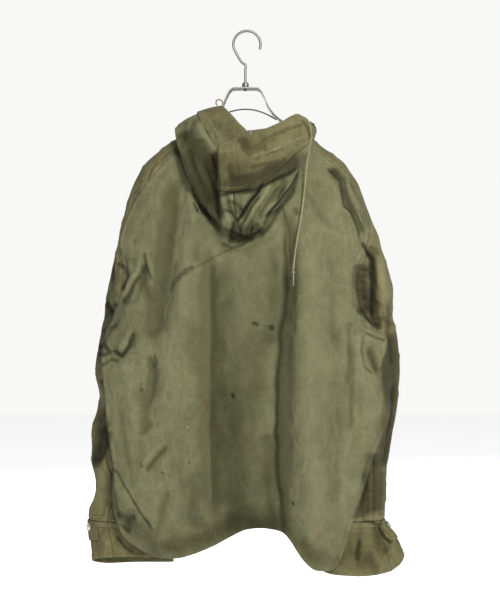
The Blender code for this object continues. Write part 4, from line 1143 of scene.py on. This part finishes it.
# How each piece is finished: its seams, its free edges, how far the hem's stitches run from the
# last row, size of the mesh's cells, crumple (all in millimetres), and the creases that show from
# behind and from ahead
MAKE = {
    "back_panel": (("left", "right", "top"), ("bottom",), 55, 3.02, 1.0, BACK_CREASES, ()),
    "front_left": (("left", "top"), ("bottom",), 55, 4.0, 1.2, (), FRONT_CREASES),
    "front_right": (("left", "top"), ("bottom",), 55, 4.0, 1.2, (), FRONT_CREASES),
    "sleeve_left": (("left", "right", "bottom"), (), 0, 3.0, 2.2, SLEEVE_CREASES, SLEEVE_FRONT_CREASES),
    "sleeve_right": (("left", "right", "bottom"), (), 0, 3.0, 2.2, SLEEVE_CREASES, SLEEVE_FRONT_CREASES),
    "cuff_left": (("top",), ("bottom",), 12, 2.8, 1.3, CUFF_CREASES, ()),
    "cuff_right": (("top",), ("bottom",), 12, 2.8, 1.3, CUFF_CREASES, ()),
    "cuff_tab_left": ((), ("bottom", "left", "right"), 0, 1.8, 0.2, (), ()),
    "cuff_tab_right": ((), ("bottom", "left", "right"), 0, 1.8, 0.2, (), ()),
    "hood_left": (("left", "bottom"), ("right",), 0, 2.3, 1.5, HOOD_CREASES, ()),
    "hood_right": (("left", "top"), ("right",), 0, 2.3, 1.5, HOOD_CREASES, ()),
    "hood_edge_band": (("left",), ("right",), 0, 2.6, 0.9, BAND_CREASES, ()),
    "front_fly": ((), ("left", "right", "bottom"), 0, 3.4, 0.6, (), ()),
}
# Pieces whose inner side shows as well, so that creases and marks go on both
TURNED_OVER = ("hood_left", "hood_right")
BEHIND = (0.0, -1.0, 0.0)
AHEAD = (0.0, 1.0, 0.0)
# How far the lines placed by the photograph's pixels wander from their places, in pixels
WANDER = 2.2


def edge_distances(grid):
    """Metres from each of a grid's four edges, along the cloth."""
    across = arc(grid, 1)
    down = arc(grid, 0)
    return {
        "left": across,
        "right": across[:, -1:] - across,
        "top": down,
        "bottom": down[-1:] - down,
    }


def least(distances, edges, otherwise=1.0):
    found = np.full(distances["left"].shape, otherwise)
    for edge in edges:
        found = np.minimum(found, distances[edge])
    return found


def cloth_piece(node, finish):
    """A cloth piece: the frame's sheet read finely, creased, and given a wall, seams and marks."""
    seams, free, hem, cell, crumple, behind, ahead = MAKE[node]
    out = CUT[node][2]
    sheet = finer(middle_grid(node), cell)
    normal = normals_of(sheet) * out
    distances = edge_distances(sheet)
    seam_off = least(distances, seams)
    edge_off = least(distances, free)
    run = np.where(
        least(distances, set(seams) & {"left", "right"}) <= least(distances, {"top", "bottom"}),
        distances["top"],
        distances["left"],
    )
    x, y = in_photo(sheet)
    x = x + WANDER * noise_at(sheet, 28.0, 41.0)
    y = y + WANDER * noise_at(sheet, 28.0, 53.0)
    shown = facing(normal, BEHIND) if behind else np.zeros(x.shape)
    inner = facing(normal, AHEAD) if node in TURNED_OVER else np.zeros(x.shape)
    height = creases(x, y, behind) * (shown - inner)
    height += creases(x, y, ahead) * facing(normal, AHEAD)
    seen_way = np.sign(shown - inner + 0.001)
    drawn = height * seen_way
    wide = noise_at(sheet, (14.0, 14.0, 6.0), 3.1)
    small = noise_at(sheet, (38.0, 38.0, 24.0), 7.7)
    ridged = 1 - np.abs(noise_at(sheet, (26.0, 26.0, 15.0), 12.3)) * 2.6
    height += crumple * (0.9 * wide + 0.45 * small + 0.8 * np.clip(ridged, 0, 1) ** 3)
    height *= soft_step(least(distances, set(seams)) / (8 * MM) + 0.15)
    # The creases' height kept for the finish, which paints shade in their valleys from it
    relief = np.clip((height * seen_way + 0.6 * drawn) / 6.0, -1, 1)
    bead = soft_step((SEAM_WIDTH + 2.0 - seam_off / MM) / 2.5)
    pucker = noise_at(sheet, 85.0, 21.0)
    height += bead * (SEAM_RISE + PUCKER * 2 * pucker) * soft_step(seam_off / MM / 2.5)
    if hem:
        band = soft_step((hem - distances["bottom"] / MM) / 2.5 + 1)
        height += HEM_RISE * band * soft_step(distances["bottom"] / MM / 2.0)
        height += band * PUCKER * noise_at(sheet, (60.0, 60.0, 30.0), 33.0)
    points = sheet + normal * height[..., None] * MM

    marks = {
        "seam_off": seam_off,
        "edge_off": edge_off,
        "seam_run": run,
        "hem_line": distances["bottom"] - hem * MM if hem else np.ones(run.shape),
        "relief": relief,
    }
    for kind, amount in stain_amounts(x, y).items():
        marks[kind] = amount * np.maximum(shown, inner)
    for count in range(SEWN_ROWS):
        marks[f"sewn_{count}"] = np.ones(run.shape)
    for count, (line, gap) in enumerate(SEWN.get(node, ())):
        marks[f"sewn_{count}"] = np.abs(line_offset(x, y, line)) - gap * MM
    middle = distances["left"] - distances["left"][:, -1:] / 2
    return sheet_object(f"{node}_cloth", points, normal, (middle, distances["top"]), marks, finish)


def sheet_object(name, points, normal, cloth_map, marks, finish):
    """A grid of points as an object with a wall, its own map and its marks."""
    rows, columns, _ = points.shape
    index = np.arange(rows * columns).reshape(rows, columns)
    faces = np.stack([index[:-1, :-1], index[1:, :-1], index[1:, 1:], index[:-1, 1:]], axis=-1)
    faces = faces.reshape(-1, 4)
    corner = faces[len(faces) // 2]
    flat = points.reshape(-1, 3)
    found = np.cross(flat[corner[1]] - flat[corner[0]], flat[corner[3]] - flat[corner[0]])
    if np.dot(found, normal.reshape(-1, 3)[corner[0]]) < 0:
        faces = faces[:, ::-1]
    data = bpy.data.meshes.new(name)
    data.from_pydata(flat.tolist(), [], faces.tolist())
    own_map = data.uv_layers.new(name="own_map")
    across, down = (part.reshape(-1) for part in cloth_map)
    order = faces.reshape(-1)
    places = np.stack([across[order], down[order]], axis=-1).astype(np.float32)
    own_map.data.foreach_set("uv", places.reshape(-1))
    for mark, values in marks.items():
        layer = data.attributes.new(mark, "FLOAT", "POINT")
        layer.data.foreach_set("value", values.reshape(-1).astype(np.float32))
    for face in data.polygons:
        face.use_smooth = True
    data.materials.append(finish)
    piece = linked(name, data)
    wall = piece.modifiers.new("wall", "SOLIDIFY")
    wall.thickness = WALL * MM
    wall.offset = 0.0
    finish_modifiers(piece)
    return piece


def only(piece):
    bpy.ops.object.select_all(action="DESELECT")
    piece.select_set(True)
    bpy.context.view_layer.objects.active = piece


def finish_modifiers(piece):
    only(piece)
    for modifier in list(piece.modifiers):
        bpy.ops.object.modifier_apply(modifier=modifier.name)


def ridden(piece, slot, *replaced):
    """Puts the piece on the root body and hides the frame nodes that it replaces. The slot is not used.
    """
    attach(piece, "root")
    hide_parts(*replaced)


# Flat cut of each sheet in metres: width, length, area where it isn't a rectangle, what the sheet
# rests on, and whether its canvas is the worn one
FLAT = {
    "back_panel": (0.62, 0.90, 0.41, ("hanger_frame",), False),
    "front_left": (0.31, 0.86, 0.195, ("hanger_frame",), False),
    "front_right": (0.31, 0.86, 0.190, ("hanger_frame",), False),
    "sleeve_left": (0.42, 0.90, 0.215, ("hanger_frame",), True),
    "sleeve_right": (0.42, 0.90, 0.215, ("hanger_frame",), True),
    "cuff_left": (0.36, 0.085, None, ("sleeve_left",), True),
    "cuff_right": (0.35, 0.10, None, ("sleeve_right",), True),
    "cuff_tab_left": (0.052, 0.041, None, ("cuff_left",), True),
    "cuff_tab_right": (0.050, 0.045, None, ("cuff_right",), True),
    "hood_left": (0.28, 0.42, 0.072, ("back_panel",), False),
    "hood_right": (0.28, 0.42, 0.062, ("back_panel",), False),
    "hood_edge_band": (0.09, 0.82, 0.038, ("hood_left", "hood_right"), True),
    "front_fly": (0.065, 0.69, None, ("front_left", "front_right"), False),
}


def make_cloth():
    canvas = canvas_finish("canvas_olive_cloth", OLIVE, OLIVE_DEEP, OLIVE_PALE, 0.22)
    worn = canvas_finish("canvas_worn_cloth", WORN, WORN_DEEP, WORN_PALE, 0.42)
    for node, (width, length, area, rests_on, is_worn) in FLAT.items():
        piece = cloth_piece(node, worn if is_worn else canvas)
        ridden(piece, "canvas_worn" if is_worn else "canvas_olive", node)


def make_cord():
    finish = cord_finish()
    line = route_line(CORD_ROUTE, CORD_SPACING)
    cord = braid("drawcord_braid", line, CORD_RADIUS * MM, finish)
    ridden(cord, "cord_tan", "drawcord")
    loop_line = route_line(LOOP_ROUTE, LOOP_SPACING)
    loop = braid("hood_loop_braid", loop_line, CORD_RADIUS * MM, finish)
    ridden(loop, "cord_tan", "drawcord_loop")
    return cord, line


def clean_copy(node, name):
    """A copy of a frame node's own mesh with its loose triangles joined, as a new piece."""
    piece = linked(name, NODES[node].data.copy())
    only(piece)
    bpy.ops.object.mode_set(mode="EDIT")
    bpy.ops.mesh.select_all(action="SELECT")
    bpy.ops.mesh.remove_doubles(threshold=0.00001)
    bpy.ops.mesh.dissolve_limited(angle_limit=math.radians(1.5))
    bpy.ops.object.mode_set(mode="OBJECT")
    piece.data.materials.clear()
    return piece


def axis_of(node):
    """Middle and outward direction of a stud, from the widest of its flat sides."""
    mesh = bmesh.new()
    mesh.from_mesh(NODES[node].data)
    mesh.faces.ensure_lookup_table()
    groups = []
    for face in mesh.faces:
        for group in groups:
            if group[0].dot(face.normal) > 0.9995:
                group[1] += face.calc_area()
                group[2] += face.calc_center_median() * face.calc_area()
                break
        else:
            area = face.calc_area()
            groups.append([face.normal.copy(), area, face.calc_center_median() * area])
    normal, area, total = max(groups, key=lambda group: group[1])
    normal, middle = normal.copy(), total / area
    mesh.free()
    return middle, -normal


def select_faces(test):
    """Selects the faces of the piece in edit mode that pass a test of centre and normal."""
    mesh = bmesh.from_edit_mesh(bpy.context.object.data)
    for face in mesh.faces:
        face.select_set(test(face.calc_center_median(), face.normal))
    mesh.select_flush_mode()
    bmesh.update_edit_mesh(bpy.context.object.data)


# Press stud's cap in millimetres, and its steps from the rim inward: how far in and how far up
CAP_RADIUS = 7.4
CAP_HEIGHT = 1.7
CAP_MIDDLE = 0.95
CAP_STEPS = ((1.0, 0.0), (0.5, -0.5), (1.0, 0.1), (1.6, 0.9), (1.6, 0.35))


def stud_cap():
    """A press stud's cap: a spun disc with a rolled rim, a sunk ring and a low crown."""
    bpy.ops.object.select_all(action="DESELECT")
    bpy.ops.mesh.primitive_cylinder_add(
        vertices=40,
        radius=CAP_RADIUS * MM,
        depth=CAP_HEIGHT * MM,
        location=(0, 0, CAP_MIDDLE * MM),
    )
    cap = bpy.context.object
    bpy.ops.object.mode_set(mode="EDIT")
    bpy.ops.mesh.select_mode(type="FACE")
    bpy.ops.mesh.select_all(action="DESELECT")
    select_faces(lambda centre, normal: normal.z > 0.9)
    for inward, rise in CAP_STEPS:
        bpy.ops.mesh.inset(thickness=inward * MM, depth=rise * MM)
    bpy.ops.object.mode_set(mode="OBJECT")
    round_edges(cap, 0.45, 38)
    finish_modifiers(cap)
    bpy.ops.object.transform_apply(location=True, rotation=True, scale=True)
    only(cap)
    bpy.ops.object.shade_smooth_by_angle(angle=math.radians(50))
    return cap


def make_studs():
    finish = metal_finish("snap_nickel", NICKEL, NICKEL_DULL, 0.32, (300.0, 300.0, 300.0))
    cap = stud_cap()
    nodes = [f"front_stud_{count}" for count in range(1, 6)] + ["cuff_stud_left", "cuff_stud_right"]
    for node in nodes:
        middle, outward = axis_of(node)
        piece = linked(f"{node}_cap", cap.data.copy())
        piece.data.materials.clear()
        piece.data.materials.append(finish)
        turn = outward.to_track_quat("Z", "Y").to_matrix().to_4x4()
        turn.translation = middle
        piece.data.transform(turn)
        ridden(piece, "snap_metal", node)
    bpy.data.objects.remove(cap, do_unlink=True)


def wire(name, points, radius, finish):
    """A drawn wire through points, as a smooth curve made a mesh."""
    data = bpy.data.curves.new(name, "CURVE")
    data.dimensions = "3D"
    data.bevel_depth = radius * MM
    data.bevel_resolution = 5
    data.use_fill_caps = True
    spline = data.splines.new("POLY")
    spline.points.add(len(points) - 1)
    for place, point in zip(spline.points, points):
        place.co = (*(part * MM for part in point), 1.0)
    only(linked(name, data))
    bpy.ops.object.convert(target="MESH")
    piece = bpy.context.object
    piece.data.materials.clear()
    piece.data.materials.append(finish)
    bpy.ops.object.shade_smooth_by_angle(angle=math.radians(40))
    return piece


# Hanger's hook in millimetres: radius of its bend, radius of its wire, and its stem's place
HOOK_BEND = 26.5
HOOK_RADIUS = 2.5
STEM_X = -3.0


def round_edges(piece, width, sharper):
    """A rounding that many millimetres wide on the edges sharper than an angle in degrees."""
    rounded = piece.modifiers.new("edges", "BEVEL")
    rounded.width = width * MM
    rounded.segments = 3
    rounded.limit_method = "ANGLE"
    rounded.angle_limit = math.radians(sharper)


def finished(piece, finish, smoother):
    """Applies the modifiers, puts the finish on and smooths the edges below an angle in degrees."""
    finish_modifiers(piece)
    piece.data.materials.append(finish)
    bpy.ops.object.shade_smooth_by_angle(angle=math.radians(smoother))


def make_hanger():
    steel = metal_finish("hanger_steel_satin", STEEL, STEEL_DULL, 0.52)
    dark = metal_finish("hanger_dark_steel", DARK_STEEL, DARK_STEEL_DULL, 0.45)
    turns = [math.radians(-20 + 4 * step) for step in range(56)]
    middle = HOOK_RADIUS - HOOK_BEND
    bend = [(HOOK_BEND * math.cos(turn), 0.0, middle + HOOK_BEND * math.sin(turn)) for turn in turns]
    stem = [(-12.2, 0, -55.8)] + [(STEM_X, 0, z) for z in (-64, -74, -86, -98)]
    start = np.array([bend[-2], bend[-1]] + stem)
    lower = through(start, np.linspace(1, len(start) - 1, 48))
    hook = wire("hanger_hook_wire", bend[:-1] + [tuple(point) for point in lower], HOOK_RADIUS, steel)
    ridden(hook, "hanger_steel", "hanger_hook")

    arc = clean_copy("hanger_arc", "hanger_arc_bar")
    smooth = arc.modifiers.new("smooth", "SUBSURF")
    smooth.levels = smooth.render_levels = 1
    finished(arc, dark, 50)
    ridden(arc, "hanger_dark", "hanger_arc")

    strip = clean_copy("hanger_frame", "hanger_frame_strip")
    round_edges(strip, 0.5, 60)
    finished(strip, steel, 55)
    ridden(strip, "hanger_steel", "hanger_frame")

    for node, width, finish, slot in (
        ("hanger_ferrule", 0.6, steel, "hanger_steel"),
        ("hanger_bolt", 0.4, dark, "hanger_dark"),
        ("drawcord_aglet", 0.35, steel, "snap_metal"),
    ):
        piece = clean_copy(node, f"{node}_turned")
        round_edges(piece, width, 35)
        finished(piece, finish, 50)
        ridden(piece, slot, node)


# The knot: its strand's radius, how far it starts below the cord, its height, turns, and the
# least and further radius of its winding, all in millimetres but the turns
KNOT_STRAND = 1.25
KNOT_START = 0.8
KNOT_HEIGHT = 6.6
KNOT_TURNS = 2.2
KNOT_WAIST = 0.6
KNOT_BELLY = 1.9


def make_knot(end):
    """An overhand knot: the cord wound round itself just under its free end."""
    finish = bpy.data.materials["cord_tan_braid"]
    share = np.linspace(0, 1, 90)
    angle = 2 * math.pi * (0.15 + KNOT_TURNS * share)
    radius = (KNOT_WAIST + KNOT_BELLY * np.sin(math.pi * share) ** 0.7) * MM
    x = end[0] + radius * np.cos(angle)
    y = end[1] + radius * np.sin(angle)
    z = end[2] - (KNOT_START + KNOT_HEIGHT * share) * MM + 0.5 * MM * np.sin(2 * angle)
    line = np.stack([x, y, z], axis=-1)
    wound = braid("drawcord_knot_wound", line, KNOT_STRAND * MM, finish)
    ridden(wound, "cord_tan", "drawcord_knot")
    return wound


def set_stage():
    bpy.ops.object.select_all(action="DESELECT")
    bpy.ops.mesh.primitive_plane_add(size=12.0, location=(0.0, 0.0, -1.32))
    floor = bpy.context.object
    floor.name = "floor"
    tree = Tree("floor_pale")
    colour = tree.tinted((0.86, 0.86, 0.85), (tree.noise(3.0), 0.3, 0.7, 1.0, (0.83, 0.83, 0.82)))
    tree.put(Base_Color=colour, Roughness=0.9, Emission_Color=BACKGROUND, Emission_Strength=0.55)
    floor.data.materials.append(tree.finish)
    world = bpy.data.worlds.new("studio")
    bpy.context.scene.world = world
    world.use_nodes = True
    nodes = world.node_tree.nodes
    links = world.node_tree.links
    lit = nodes["Background"]
    lit.inputs["Color"].default_value = (0.97, 0.98, 1.0, 1.0)
    lit.inputs["Strength"].default_value = 0.42
    seen = nodes.new("ShaderNodeBackground")
    seen.inputs["Color"].default_value = (*BACKGROUND, 1.0)
    seen.inputs["Strength"].default_value = 1.0
    choice = nodes.new("ShaderNodeMixShader")
    links.new(nodes.new("ShaderNodeLightPath").outputs["Is Camera Ray"], choice.inputs[0])
    links.new(lit.outputs[0], choice.inputs[1])
    links.new(seen.outputs[0], choice.inputs[2])
    links.new(choice.outputs[0], nodes["World Output"].inputs["Surface"])
    lights = (
        ("key", (1.15, -2.9, 1.15), 0.9, 168.0),
        ("fill", (-1.6, -2.6, -0.2), 2.0, 6.0),
        ("back", (-0.6, 2.6, 0.6), 2.0, 60.0),
    )
    for name, place, size, power in lights:
        bpy.ops.object.light_add(type="AREA", location=place)
        light = bpy.context.object
        light.name = f"studio_{name}"
        light.data.size = size
        light.data.energy = power
        aim = Vector((0.0, 0.0, -0.55)) - Vector(place)
        light.rotation_euler = aim.to_track_quat("-Z", "Y").to_euler()
    bpy.context.scene.view_settings.view_transform = "Standard"


set_camera()
cord, cord_line = make_cord()
knot = make_knot(cord_line[-1])
make_hanger()
make_studs()
make_cloth()
set_stage()
